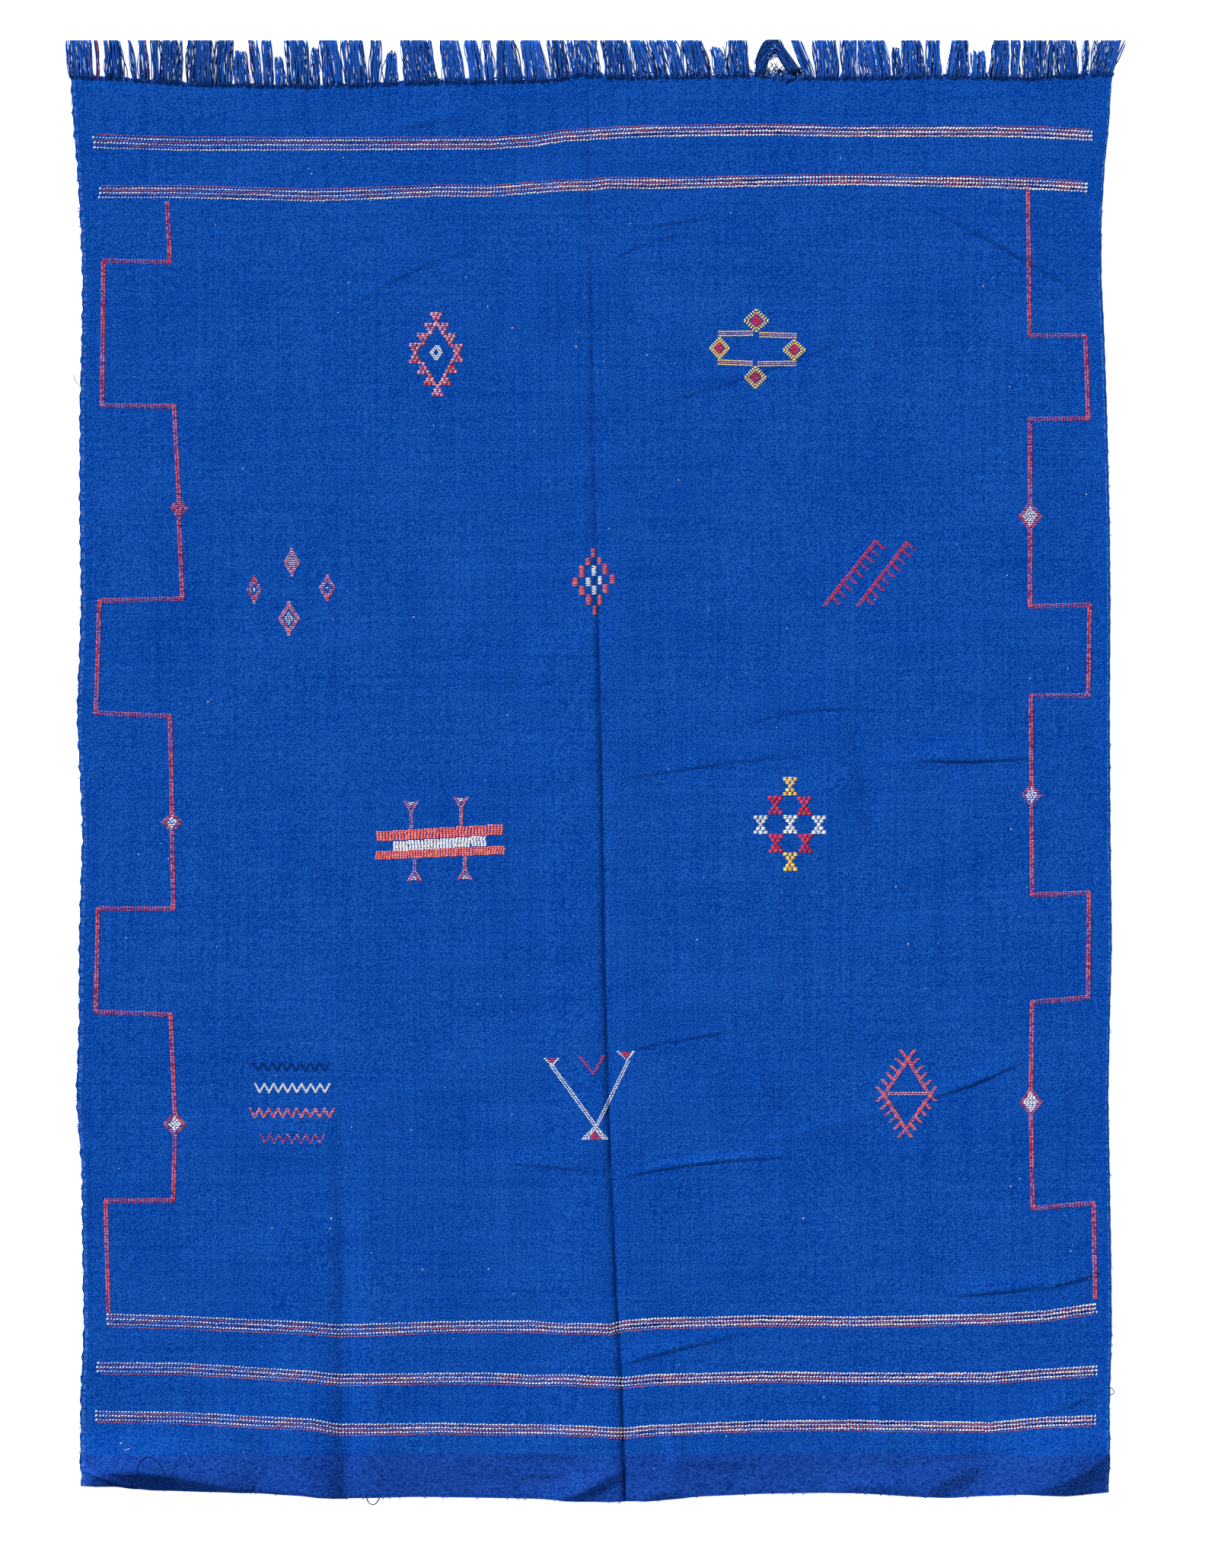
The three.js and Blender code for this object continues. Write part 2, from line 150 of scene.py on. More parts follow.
# Wrinkles: start, bend point and end of the crest, its rise, and how far it takes to sink above the
# crest and below it
WRINKLES = (
    ((-372, 655), (-300, 724), (-150, 762), 1.7, 26, 9),
    ((-290, 930), (-240, 940), (-185, 946), 1.3, 20, 8),
    ((18, 738), (75, 770), (138, 778), 1.1, 20, 4.5),
    ((60, 781), (120, 801), (205, 799), 1.1, 20, 4.5),
    ((32, 519), (180, 547), (375, 630), 1.4, 24, 4.5),
    ((455, 828), (590, 764), (724, 678), 3, 26, 7.5),
    ((575, 627), (615, 609), (655, 577), 1.8, 22, 7),
    ((215, 68), (330, 107), (454, 82), 1.5, 22, 4.5),
    ((450, 19), (540, 12), (648, 21), 2.6, 22, 4.6),
    ((28, -12), (150, 10), (290, 25), 1.3, 22, 4.5),
    ((42, -402), (140, -384), (238, -368), 2, 22, 4.4),
    ((182, -400), (230, -430), (265, -490), 2, 24, 13),
    ((22, -589), (140, -559), (290, -556), 2.6, 7, 4.2),
    ((205, -549), (300, -519), (445, -485), 1.3, 7, 24),
    ((473, -474), (555, -452), (630, -412), 2.3, 17, 4.4),
    ((-135, -564), (-50, -569), (14, -581), 1.5, 20, 4.6),
    ((500, -757), (590, -752), (655, -742), 2.3, 20, 4.8),
    ((635, -748), (690, -738), (738, -720), 1.9, 20, 4.8),
    ((32, -857), (105, -834), (220, -811), 1.9, 18, 5),
    ((-540, -935), (-430, -975), (-385, -1070), 6, 34, 20),
    ((385, -870), (415, -930), (425, -990), 2.2, 24, 12),
    ((640, -930), (680, -915), (722, -900), 1.2, 22, 7),
    ((100, -930), (118, -975), (112, -1030), 2.2, 24, 14),
    ((-130, -985), (-75, -980), (-30, -992), 1.8, 18, 10),
    ((-120, -1018), (-75, -1013), (-40, -1018), 1.8, 14, 8),
    ((100, -1000), (160, -994), (230, -1002), 1.6, 20, 10),
    ((400, -1000), (530, -985), (680, -965), 1.6, 34, 10),
    # The foot's curls
    ((-738, -1020), (-660, -993), (-495, -1042), 18, 40, 24),
    ((-737, -1010), (-700, -1024), (-655, -1037), 5, 4, 3),
    ((-600, -1026), (-480, -1035), (-335, -1051), 5.5, 34, 12),
    ((-72, -1060), (-15, -1042), (44, -1006), 7, 22, 15),
    ((60, -1056), (100, -1030), (150, -1056), 5, 16, 12),
    ((330, -1040), (420, -1020), (500, -1056), 6, 22, 18),
    ((468, -1045), (520, -1015), (568, -998), 5, 40, 22),
    ((560, -1050), (705, -1040), (765, -958), 14, 80, 34),
)
TOUCHDOWN = 0.3

# The five stripes: which end of the rug they are at, their left and right ends, how far apart their
# rows lie at the left and at the right, and their height over the rug's middle at places across it
STRIPE_PLACES = (-725, -600, -410, -370, -225, -155, -90, -45, -8, 20, 42, 85, 240, 370, 570, 650, 720)
STRIPES = (
    ("head", -725, 718, (7.2, 5.8),
     (908, 904, 904, 904, 905, 905, 909, 916, 918, 920, 921, 923, 925, 923, 923, 921, 917)),
    ("head", -717, 710, (6.5, 5.6),
     (835, 835, 830, 831, 837, 836, 841, 844, 845, 848, 848, 847, 851, 853, 849, 846, 842)),
    ("foot", -706, 723, (6.9, 5.6),
     (-791, -795, -803, -807, -802, -801, -801, -804, -804, -805, -800, -797, -793, -795, -791, -786, -776)),
    ("foot", -719, 725, (6.1, 5.6),
     (-861, -862, -873, -878, -876, -876, -879, -878, -880, -881, -882, -878, -874, -876, -876, -870, -866)),
    ("foot", -722, 722, (6, 5.5),
     (-931, -933, -942, -950, -948, -950, -950, -951, -952, -954, -955, -951, -945, -944, -947, -939, -937)),
)

# The stepped lines down the sides, corner by corner. A run that is longer than PLAIN_RUN has a
# lozenge at its middle. The lozenges are given by their middle, half width and half height, and the
# half width and half height of their white heart, if any.
LEFT_STEPS = (
    (-619, 822), (-615, 735), (-711, 737), (-713, 528), (-609, 527), (-597, 249), (-717, 246),
    (-722, 84), (-615, 79), (-610, -199), (-719, -199), (-722, -348), (-614, -352), (-610, -620),
    (-708, -621), (-704, -781),
)
RIGHT_STEPS = (
    (625, 838), (627, 629), (708, 629), (712, 509), (628, 508), (628, 238), (714, 240), (712, 109),
    (629, 109), (631, -179), (713, -176), (712, -327), (631, -334), (632, -632), (720, -624),
    (722, -762),
)
PLAIN_RUN = 250
SIDE_LOZENGES = (
    (-602, 380, 13.5, 14.5, None), (-612, -74, 15.5, 14, (7.8, 9.5)), (-608, -510, 17.5, 16.5, (10, 11)),
    (628, 368, 17, 21.3, (10.6, 15.3)), (630, -35, 15.5, 15.5, (9, 12)), (629, -478, 17, 19.6, (11.2, 15.5)),
)

# The fringe's bunches: middle and width of the roots, lean of the tips, width across the tips, and
# how far the tips end short of the trim line
BUNCHES = (
    (-743, 36, -4.5, 32, 0), (-719, 5, -4, 4, 0), (-694, 30, -5.5, 21, 0), (-665, 6, -10, 5, 0),
    (-651, 14, -5, 11, 0), (-619, 44, -2, 42, 0), (-572, 38, 0, 31, 0), (-539, 25, 3, 23, 0),
    (-509, 22, -5, 14, 14), (-487, 12, -9, 12, 0), (-472, 14, -4, 12, 0), (-455, 14, -3, 9, 23),
    (-428, 33, -6, 30, 0), (-404, 11, -2, 8, 9), (-379, 30, -8, 22, 0), (-345, 31, -8, 28, 0),
    (-320, 14, 2, 13, 0), (-297, 22, 2, 12, 14), (-252, 50, -8, 40, 0), (-203, 33, -9, 24, 0),
    (-172, 22, -9, 16, 0), (-153, 12, -5, 11, 0), (-124, 38, -7, 24, 0), (-84, 35, -11, 25, 0),
    (-62, 4, -7, 3, 0), (-47, 22, -8, 16, 0), (-13, 40, -7, 40, 0), (34, 42, -9, 34, 0),
    (70, 25, -13, 16, 0), (95, 21, -15, 22, 0), (118, 20, -13, 20, 0), (149, 38, -11, 25, 0),
    (181, 18, -7, 17, 8), (207, 30, -3, 26, 0), (276, 22, -2, 22, 40), (308, 15, -19, 13, 0),
    (335, 34, -5, 30, 0), (366, 20, -1, 22, 0), (387, 13, -2, 11, 0), (412, 30, -9, 24, 0),
    (435, 12, -1, 11, 8), (460, 32, -5, 24, 0), (488, 20, -1, 18, 0), (522, 32, 4, 20, 0),
    (552, 22, 1, 19, 14), (583, 29, 3, 18, 0), (606, 11, 1, 12, 0), (632, 31, 3, 30, 0),
    (655, 11, 3, 4, 0), (681, 34, -3, 28, 0), (706, 8, 3, 7, 0), (730, 34, 13, 40, 0),
)
# The bunch that has sprung into an arch: where it stands, and its corners from there
ARCH_PLACE = (260, 1004)
ARCH = ((-29, 2), (-27, 28), (-14, 51), (4, 52), (18, 31), (37, 4))
# The few red warp ends: their root and the lean of their tip
RED_ENDS = ((-726, -5), (-718, -4), (-646, -5), (-494, -6))

# Loose threads: their corners, radius and shade
LOOSE_THREADS = (
    (((-661, -1017), (-658, -998), (-644, -988), (-629, -998), (-617, -1020)), 0.5, 0.2),
    (((-332.8, -1043), (-328, -1057), (-319, -1059), (-312, -1050)), 0.8, 0.5),
    (((-755.2, 572.6), (-751, 562), (-744.2, 555)), 0.5, 0.1),
    (((740, -890), (747.5, -893), (748.5, -899), (741, -902)), 0.7, 0.6),
)
# How many short bits of yarn stand out along each edge
FRAYS = {"left": 120, "right": 30, "foot": 60}
LINT_COUNT = 260
# Bits of seed husk caught in the weave: place and angle in degrees
HUSKS = (
    (-685, -970, 20), (-674, -978, 18), (-678, -979, 18), (-382, -646, 60), (300, -646, 40),
    (452, -250, 120), (-120, 640, 15), (560, 700, 80), (-560, 100, 30), (120, 420, 150),
    (600, -600, 70), (-250, -720, 100), (330, -905, 10), (-28, 613, 100),
)


def linear(hex_colour):
    """An sRGB hex colour as linear red, green, blue and alpha."""
    channels = [int(hex_colour[i:i + 2], 16) / 255 for i in (1, 3, 5)]
    return tuple(c / 12.92 if c <= 0.04045 else ((c + 0.055) / 1.055) ** 2.4 for c in channels) + (1,)


def add_node(tree, kind, settings=None, inputs=None):
    """Adds a node with its settings. An input is a value or another node's output socket."""
    node = tree.nodes.new(kind)
    for name, value in (settings or {}).items():
        setattr(node, name, value)
    for name, value in (inputs or {}).items():
        if isinstance(value, bpy.types.NodeSocket):
            tree.links.new(value, node.inputs[name])
        else:
            node.inputs[name].default_value = value
    return node


def new_material(name, roughness):
    """A matt material, ready for its colour and bump."""
    material = bpy.data.materials.new(name)
    material.use_nodes = True
    tree = material.node_tree
    tree.nodes.clear()
    shader = add_node(tree, "ShaderNodeBsdfPrincipled", inputs={
        "Roughness": roughness,
        "Specular IOR Level": 0.0,
    })
    add_node(tree, "ShaderNodeOutputMaterial", inputs={"Surface": shader.outputs["BSDF"]})
    return material, tree, shader


def grain(tree, coords, across, along, detail=1.0):
    """Noise whose blotches are about that many metres across and along the rug."""
    mapping = add_node(tree, "ShaderNodeMapping", inputs={
        "Vector": coords,
        "Scale": (1 / across, 1 / along, 1 / max(across, along)),
    })
    noise = add_node(tree, "ShaderNodeTexNoise", inputs={
        "Vector": mapping.outputs["Vector"],
        "Scale": 1.0,
        "Detail": detail,
        "Roughness": 0.6,
    })
    return noise.outputs["Fac"]


def weighted_sum(tree, terms, start=0.0):
    """A number: start plus, for each (socket, weight), the socket's swing about 0.5 times its weight."""
    total = start
    for socket, weight in terms:
        node = add_node(tree, "ShaderNodeMath", {"operation": "MULTIPLY_ADD"})
        tree.links.new(socket, node.inputs[0])
        node.inputs[1].default_value = weight
        if isinstance(total, bpy.types.NodeSocket):
            tree.links.new(total, node.inputs[2])
        else:
            node.inputs[2].default_value = total
        total = add_node(tree, "ShaderNodeMath", {"operation": "SUBTRACT"}, {
            0: node.outputs[0],
            1: weight / 2,
        }).outputs[0]
    return total


def blend(tree, factor, dark, light):
    """A colour between two, by a factor from 0 to 1. Each is an input value or an output socket."""
    node = add_node(tree, "ShaderNodeMix", {"data_type": "RGBA"})
    for index, value in ((0, factor), (6, dark), (7, light)):
        if isinstance(value, bpy.types.NodeSocket):
            tree.links.new(value, node.inputs[index])
        else:
            node.inputs[index].default_value = value
    return node.outputs[2]


def between(tree, value, low, high, soft):
    """1 where value lies between low and high, falling to 0 over a soft edge on each side."""
    rising = add_node(tree, "ShaderNodeMapRange", {"interpolation_type": "SMOOTHSTEP"}, {
        "Value": value, "From Min": low - soft, "From Max": low,
    })
    falling = add_node(tree, "ShaderNodeMapRange", {"interpolation_type": "SMOOTHSTEP"}, {
        "Value": value, "From Min": high + soft, "From Max": high,
    })
    return product(tree, rising.outputs["Result"], falling.outputs["Result"])


def product(tree, a, b):
    return add_node(tree, "ShaderNodeMath", {"operation": "MULTIPLY"}, {0: a, 1: b}).outputs[0]


def attribute(tree, name):
    """The value of the piece's own attribute of that name."""
    return add_node(tree, "ShaderNodeAttribute", {"attribute_name": name}).outputs["Fac"]


def bump(tree, shader, height, distance, strength):
    """Lets a height pattern stand out by that distance in metres."""
    node = add_node(tree, "ShaderNodeBump", inputs={
        "Height": height, "Distance": distance, "Strength": strength,
    })
    tree.links.new(node.outputs["Normal"], shader.inputs["Normal"])


def marked_edges(tree, coords, place, colour):
    """A colour with the marks of the selvedges and the hem on it.

    The selvedge's outermost cords show as fine dotted lines, two at the left and one at the right.
    A dark rim of painted shade runs along the cloth's very edge, and a dark line of painted shade along the
    inner edge of the hem.
    """
    from_side = attribute(tree, "from_side")
    outer_cord = between(tree, from_side, 0.0034, 0.0040, 0.0008)
    inner_cord = between(tree, from_side, 0.0058, 0.0062, 0.0008)
    at_left = between(tree, place.outputs["X"], -1, -0.5, 0.1)
    inner_cord = product(tree, inner_cord, at_left)
    dotted = add_node(tree, "ShaderNodeMapRange", inputs={
        "Value": grain(tree, coords, 0.02, 0.0045), "From Min": 0.46, "From Max": 0.56,
    }).outputs["Result"]
    for cord in (outer_cord, inner_cord):
        colour = blend(tree, product(tree, product(tree, cord, dotted), 0.5), colour, linear("#5E96E4"))
    # Painted shade along the cloth's very edge
    painted_edge_shade = between(tree, from_side, -0.01, 0.0006, 0.0008)
    colour = blend(tree, product(tree, painted_edge_shade, 0.6), colour, linear("#082A6C"))
    # Painted shade along the inner edge of the hem, 4 mm from the foot
    painted_hem_shade = between(tree, attribute(tree, "from_foot"), 0.0034, 0.0042, 0.001)
    return blend(tree, product(tree, painted_hem_shade, 0.35), colour, linear("#0A2356"))


def blue_cotton_weave():
    """Reactive-dyed blue cotton, woven with about 3 wefts and 3 warps a centimetre.

    The weave's own 3 mm ribs would shimmer in a picture of the whole rug, so they are drawn as
    noise of the same size, and broader noise stands for uneven dye and yarn.
    """
    material, tree, shader = new_material("blue cotton flatweave", 0.95)
    coords = add_node(tree, "ShaderNodeTexCoord").outputs["Object"]
    knubs = grain(tree, coords, 0.0027, 0.0023)
    fibres = grain(tree, coords, 0.0012, 0.0012)
    clumps = grain(tree, coords, 0.009, 0.007)
    warp_streaks = grain(tree, coords, 0.006, 0.4)
    weft_streaks = grain(tree, coords, 0.35, 0.007)
    patches = grain(tree, coords, 0.16, 0.12, 2.0)
    tone = weighted_sum(tree, [
        (knubs, 2.4), (fibres, 0.5), (clumps, 0.22), (warp_streaks, 0.42), (weft_streaks, 0.36),
        (patches, 0.4),
    ], 0.37)
    colour = blend(tree, tone, linear("#00338E"), linear("#1E5EB9"))

    # The plain band at the foot is a coarser, duller canvas
    place = add_node(tree, "ShaderNodeSeparateXYZ", inputs={"Vector": coords})
    in_band = between(tree, place.outputs["Y"], -1.2, BAND_TOP * MM, 0.003)
    coarse = grain(tree, coords, 0.0045, 0.0035)
    band_tone = weighted_sum(tree, [(coarse, 1.5), (patches, 0.3), (knubs, 0.7)], 0.48)
    band_colour = blend(tree, band_tone, linear("#022272"), linear("#2454B2"))
    colour = blend(tree, in_band, colour, band_colour)
    colour = marked_edges(tree, coords, place, colour)

    # Painted shade darkens the cloth in the middle fold line, on the steep side of tight wrinkles and under
    # the big curl at the foot
    colour = blend(tree, attribute(tree, "painted_fold_shade"), colour, linear("#03164A"))
    tree.links.new(colour, shader.inputs["Base Color"])
    height = weighted_sum(tree, [(knubs, 1.0), (fibres, 0.3), (clumps, 0.5)], 0.5)
    bump(tree, shader, height, 0.0011, 0.8)
    return material


def dyed_yarn(name, dark, light):
    """Twisted cotton yarn whose shade runs between two colours from stitch to stitch."""
    material, tree, shader = new_material(name, 0.85)
    coords = add_node(tree, "ShaderNodeTexCoord").outputs["Object"]
    plies = grain(tree, coords, 0.0011, 0.0011)
    tone = add_node(tree, "ShaderNodeMath", {"operation": "ADD"}, {
        0: attribute(tree, "shade"), 1: weighted_sum(tree, [(plies, 0.5)]),
    }).outputs[0]
    tree.links.new(blend(tree, tone, linear(dark), linear(light)), shader.inputs["Base Color"])
    bump(tree, shader, plies, 0.0005, 0.5)
    return material


def pale_floor():
    """White studio paper, lit from behind so that the rug casts no shadow on it."""
    material, _, shader = new_material("white studio paper", 1.0)
    shader.inputs["Base Color"].default_value = linear("#FCFCFC")
    shader.inputs["Emission Color"].default_value = (1, 1, 1, 1)
    shader.inputs["Emission Strength"].default_value = 0.85
    return material


# Where the cloth lies

def side_edges(y):
    return [np.interp(y, SIDE_EDGES["y"], SIDE_EDGES[side]) for side in ("left", "right")]


def foot_edge(x):
    return np.interp(x, FOOT_EDGE["x"], FOOT_EDGE["y"])


def head_edge(x):
    return np.interp(x, HEAD_EDGE["x"], HEAD_EDGE["y"])


def outline_spots(u, v):
    """Where shares u across and v along the grid fall within the cloth's outline."""
    left, right = side_edges(MEAN_FOOT + v * (MEAN_HEAD - MEAN_FOOT))
    x = left + u * (right - left)
    foot = foot_edge(x)
    return x, foot + v * (head_edge(x) + HEAD_LAP - foot)


def inside_edges(x, y):
    """How far each spot is inside the nearer side edge, and above the foot edge."""
    left, right = side_edges(y)
    return np.minimum(x - left, right - x), y - foot_edge(x)


def fold_offset(fold, x, y):
    return x - np.interp(y, fold["y"], fold["x"])


def fold_lift(fold, x, y):
    """How high a fold line's swells lift the cloth."""
    offset = fold_offset(fold, x, y)
    left = np.interp(y, fold["y"], fold["left"])
    right = np.interp(y, fold["y"], fold["right"])
    near = np.where(offset < 0, *fold["near"])
    away = np.abs(offset)
    rise = 1 - np.exp(-(away / near) ** fold["sharpness"])
    return np.where(offset < 0, left, right) * rise * np.exp(-away / fold["far"])


def crest_of(wrinkle, pieces=8):
    """A wrinkle's crest as short straight lines."""
    start, bend, end = (np.array(spot, float) for spot in wrinkle[:3])
    t = np.linspace(0, 1, pieces + 1)[:, None]
    return (1 - t) ** 2 * start + 2 * t * (1 - t) * bend + t ** 2 * end


def beside_crest(wrinkle, x, y):
    """Each spot's distance from a wrinkle's crest, negative on its steep side, and the crest's
    strength there, from 0 at its ends to 1 halfway."""
    crest = crest_of(wrinkle)
    pieces = len(crest) - 1
    nearest = np.full(x.shape, FAR_OFF)
    strength = np.zeros(x.shape)
    for i in range(pieces):
        run = crest[i + 1] - crest[i]
        from_start = np.stack([x - crest[i][0], y - crest[i][1]])
        share = np.clip((from_start[0] * run[0] + from_start[1] * run[1]) / (run @ run), 0, 1)
        gap = np.hypot(from_start[0] - share * run[0], from_start[1] - share * run[1])
        side = np.where(run[0] * from_start[1] - run[1] * from_start[0] < 0, -1, 1)
        closer = gap < np.abs(nearest)
        nearest = np.where(closer, gap * side, nearest)
        fade = np.maximum(0, np.sin(np.pi * (i + share) / pieces)) ** 0.7
        strength = np.where(closer, fade, strength)
    return nearest, strength


def wrinkle_lift(wrinkle, x, y):
    """How high a wrinkle lifts the cloth: it sinks gently above its crest and steeply below it."""
    rise, above, below = wrinkle[3:]
    distance, strength = beside_crest(wrinkle, x, y)
    steep = np.clip(1 + distance / below, 0, 1)
    return rise * strength * np.where(distance < 0, steep, np.exp(-(distance / above) ** 2))


def unevenness(x, y, amount):
    """Low seeded swells that keep the cloth from lying dead flat."""
    rng = np.random.default_rng(SEED)
    total = np.zeros(x.shape)
    for wavelength in (45, 60, 78, 100, 130, 170, 230):
        heading, phase = rng.uniform(0, 2 * np.pi, 2)
        along = x * np.cos(heading) + y * np.sin(heading)
        total += np.sin(2 * np.pi * along / wavelength + phase)
    return amount * total


def underside(x, y, amount):
    """Height of the cloth's underside over the floor, in millimetres."""
    lift = unevenness(x, y, amount)
    for fold in FOLD_LINES:
        lift = lift + fold_lift(fold, x, y)
    for wrinkle in WRINKLES:
        lift = lift + wrinkle_lift(wrinkle, x, y)
    return np.maximum(0, lift - TOUCHDOWN)


def crease_distance(x, y):
    """How far each spot is from the nearest crease, wrinkle or side edge.

    A crease counts as a strip 10 mm wide, mostly to the left of the fold line, and a wrinkle as one
    7 mm wide, mostly on its steep side. Faint stretches of both are left out.
    """
    nearest = inside_edges(x, y)[0] + 3
    for fold in FOLD_LINES:
        swell = np.interp(y, fold["y"], fold["left"])
        away = np.abs(fold_offset(fold, x, y) + 3) - 5
        nearest = np.minimum(nearest, np.where(swell > 0.6, away, FAR_OFF))
    for wrinkle in WRINKLES:
        distance, strength = beside_crest(wrinkle, x, y)
        away = np.abs(distance + 2.5) - 3.5
        nearest = np.minimum(nearest, np.where(strength > 0.15, away, FAR_OFF))
    return nearest


def painted_fold_shade(x, y):
    """How much painted shade each spot gets, from 0 to 1: most along the middle fold line, less on
    the steep side of a tight wrinkle, and some under the big curl at the foot."""
    fold = FOLD_LINES[0]
    depth = np.interp(y, fold["y"], fold["left"]) / 5
    total = 0.7 * depth * np.exp(-((fold_offset(fold, x, y) + 0.2) / 2.2) ** 2)
    for wrinkle in WRINKLES:
        rise, _, below = wrinkle[3:]
        distance, strength = beside_crest(wrinkle, x, y)
        if below < 10:
            line = np.exp(-((distance + below / 2) / 1.7) ** 2) * strength * min(1, rise / 9)
            total = np.maximum(total, line)
        if rise > 15:
            total = np.maximum(total, 0.4 * np.clip(-distance / 3, 0, 1) * strength)
    return total


def scallop(x, y, from_side):
    """How far the wefts push the side edges outwards where they turn round the outermost warp."""
    push = 0.6 * np.sin(y / 2.6) + 0.8 * np.sin(y / 5.2 + 1.4 * np.sin(y / 47))
    push *= np.where(x < 0, 1, 0.3)
    return np.where(from_side < 3, push * np.sign(x), 0)


# Mesh building

def object_from(name, mesh, material):
    mesh.materials.clear()
    mesh.materials.append(material)
    mesh.polygons.foreach_set("use_smooth", np.ones(len(mesh.polygons), bool))
    obj = bpy.data.objects.new(name, mesh)
    bpy.context.scene.collection.objects.link(obj)
    return obj


def set_attribute(mesh, name, values):
    attribute = mesh.attributes.new(name, "FLOAT", "POINT")
    attribute.data.foreach_set("value", np.asarray(values, np.float32))


def arrays_of(bm):
    """A triangulated mesh's points and faces as arrays."""
    bmesh.ops.triangulate(bm, faces=bm.faces[:])
    bm.verts.index_update()
    points = np.array([vert.co[:] for vert in bm.verts])
    faces = np.array([[vert.index for vert in face.verts] for face in bm.faces])
    bm.free()
    return points, faces


def copies(name, points, faces, material, shades):
    """One mesh of many copies: points is copies x corners x 3, and faces those of a single copy."""
    count, corners = points.shape[:2]
    all_faces = faces[None] + (np.arange(count) * corners)[:, None, None]
    mesh = bpy.data.meshes.new(name)
    mesh.from_pydata(points.reshape(-1, 3), [], all_faces.reshape(-1, 3))
    set_attribute(mesh, "shade", np.repeat(shades, corners))
    return object_from(name, mesh, material)


def pad_template():
    """A rounded pad one unit across, the shape of a short float of yarn."""
    bm = bmesh.new()
    bmesh.ops.create_icosphere(bm, subdivisions=1, radius=0.5)
    return arrays_of(bm)


def tube_template(rings, sides):
    """A closed tube of that many rings along Z, from 0 to 1, with radius 1."""
    bm = bmesh.new()
    bmesh.ops.create_cone(bm, cap_ends=True, segments=sides, radius1=1, radius2=1, depth=1)
    long_edges = [e for e in bm.edges if abs(e.verts[0].co.z - e.verts[1].co.z) > 0.5]
    bmesh.ops.subdivide_edges(bm, edges=long_edges, cuts=rings - 2)
    bmesh.ops.translate(bm, verts=bm.verts[:], vec=(0, 0, 0.5))
    return arrays_of(bm)


def stitched(name, spots, material, tree, height):
    """Pads of yarn bedded on the cloth. A spot is x, y, length, width, angle in degrees and shade."""
    points, faces = pad_template()
    spots = np.array(spots, float)
    seats = []
    normals = []
    for x, y in spots[:, :2] * MM:
        seat, normal, _, _ = tree.ray_cast(Vector((x, y, 0.1)), Vector((0, 0, -1)))
        if seat is None:
            raise RuntimeError(f"{name}: no cloth under {x:.3f}, {y:.3f}")
        seats.append(seat[:])
        normals.append(normal[:])
    seats = np.array(seats)
    up = np.array(normals)
    angle = np.radians(spots[:, 4])
    heading = np.stack([np.cos(angle), np.sin(angle), np.zeros(len(spots))], 1)
    across = np.cross(up, heading)
    across /= np.linalg.norm(across, axis=1)[:, None]
    along = np.cross(across, up)
    sizes = np.stack([spots[:, 2] * MM, spots[:, 3] * MM, np.full(len(spots), 2 * height)], 1)
    scaled = points[None] * sizes[:, None]
    placed = (seats[:, None] + scaled[..., :1] * along[:, None] + scaled[..., 1:2] * across[:, None]
              + scaled[..., 2:] * up[:, None])
    return copies(name, placed, faces, material, spots[:, 5])


def swept(name, paths, radii, material, shades, sides=4, squash=1.0):
    """Tubes along paths. paths is tubes x rings x 3 in metres and radii is tubes x rings."""
    rings = paths.shape[1]
    points, faces = tube_template(rings, sides)
    ring = np.rint(points[:, 2] * (rings - 1)).astype(int)
    heading = np.gradient(paths, axis=1)
    level = heading * (1, 1, 0)
    level /= np.maximum(np.linalg.norm(level, axis=2), 1e-9)[..., None]
    side = np.stack([-level[..., 1], level[..., 0], np.zeros(level.shape[:2])], 2)
    reach = radii[:, ring, None]
    placed = paths[:, ring] + side[:, ring] * points[:, 0, None] * reach
    placed[..., 2] += points[:, 1] * radii[:, ring] * squash
    return copies(name, placed, faces, material, shades)


# Laying out the stitches. Every function returns spots as stitched() takes them, in millimetres.

WEFT_PITCH = 2.75


def dots(x, y, count, pitch, length, width, rng, shade=0.5, spread=0.3):
    """A short level row of stitches centred on a spot."""
    places = x + (np.arange(count) - (count - 1) / 2) * pitch
    return [(place + rng.normal(0, 0.15), y + rng.normal(0, 0.15), length * rng.uniform(0.88, 1.1),
             width, rng.normal(0, 4), shade + rng.uniform(-spread, spread)) for place in places]


def part_way(start, end, share):
    """The point at that share of the way between two points."""
    return start[0] + share * (end[0] - start[0]), start[1] + share * (end[1] - start[1])


def stroke(points, width, rng, shade=0.5, spread=0.35, pitch=WEFT_PITCH):
    """A slanting line two stitches wide, row by row along a string of points."""
    spots = []
    for start, end in zip(points, points[1:]):
        rows = max(2, round(abs(end[1] - start[1]) / pitch))
        for row in range(rows + 1):
            x, y = part_way(start, end, row / rows)
            spots += dots(x, y, 2, width / 2, width / 2 * 1.05, 2.1, rng, shade, spread)
    return spots


def filled(rows, dash, width, rng, shade=0.5, spread=0.3):
    """Rows of end-to-end dashes. Each row is its left end, right end and height."""
    spots = []
    for left, right, y in rows:
        count = max(1, round((right - left) / dash))
        length = (right - left) / count
        middle = (left + right) / 2 + rng.uniform(-0.22, 0.22) * length * min(1, count - 1)
        spots += dots(middle, y, count, length, length * 1.08, width, rng, shade, spread)
    return spots


def lozenge_rows(x, y, half_width, half_height, pitch):
    """Rows of a lozenge, top to bottom: each row's middle, half its width, and its height."""
    rows = []
    count = max(1, round(half_height / pitch))
    for row in range(-count, count + 1):
        share = 1 - abs(row) / (count + 0.4)
        rows.append((x, half_width * share, y + row * half_height / count))
    return rows


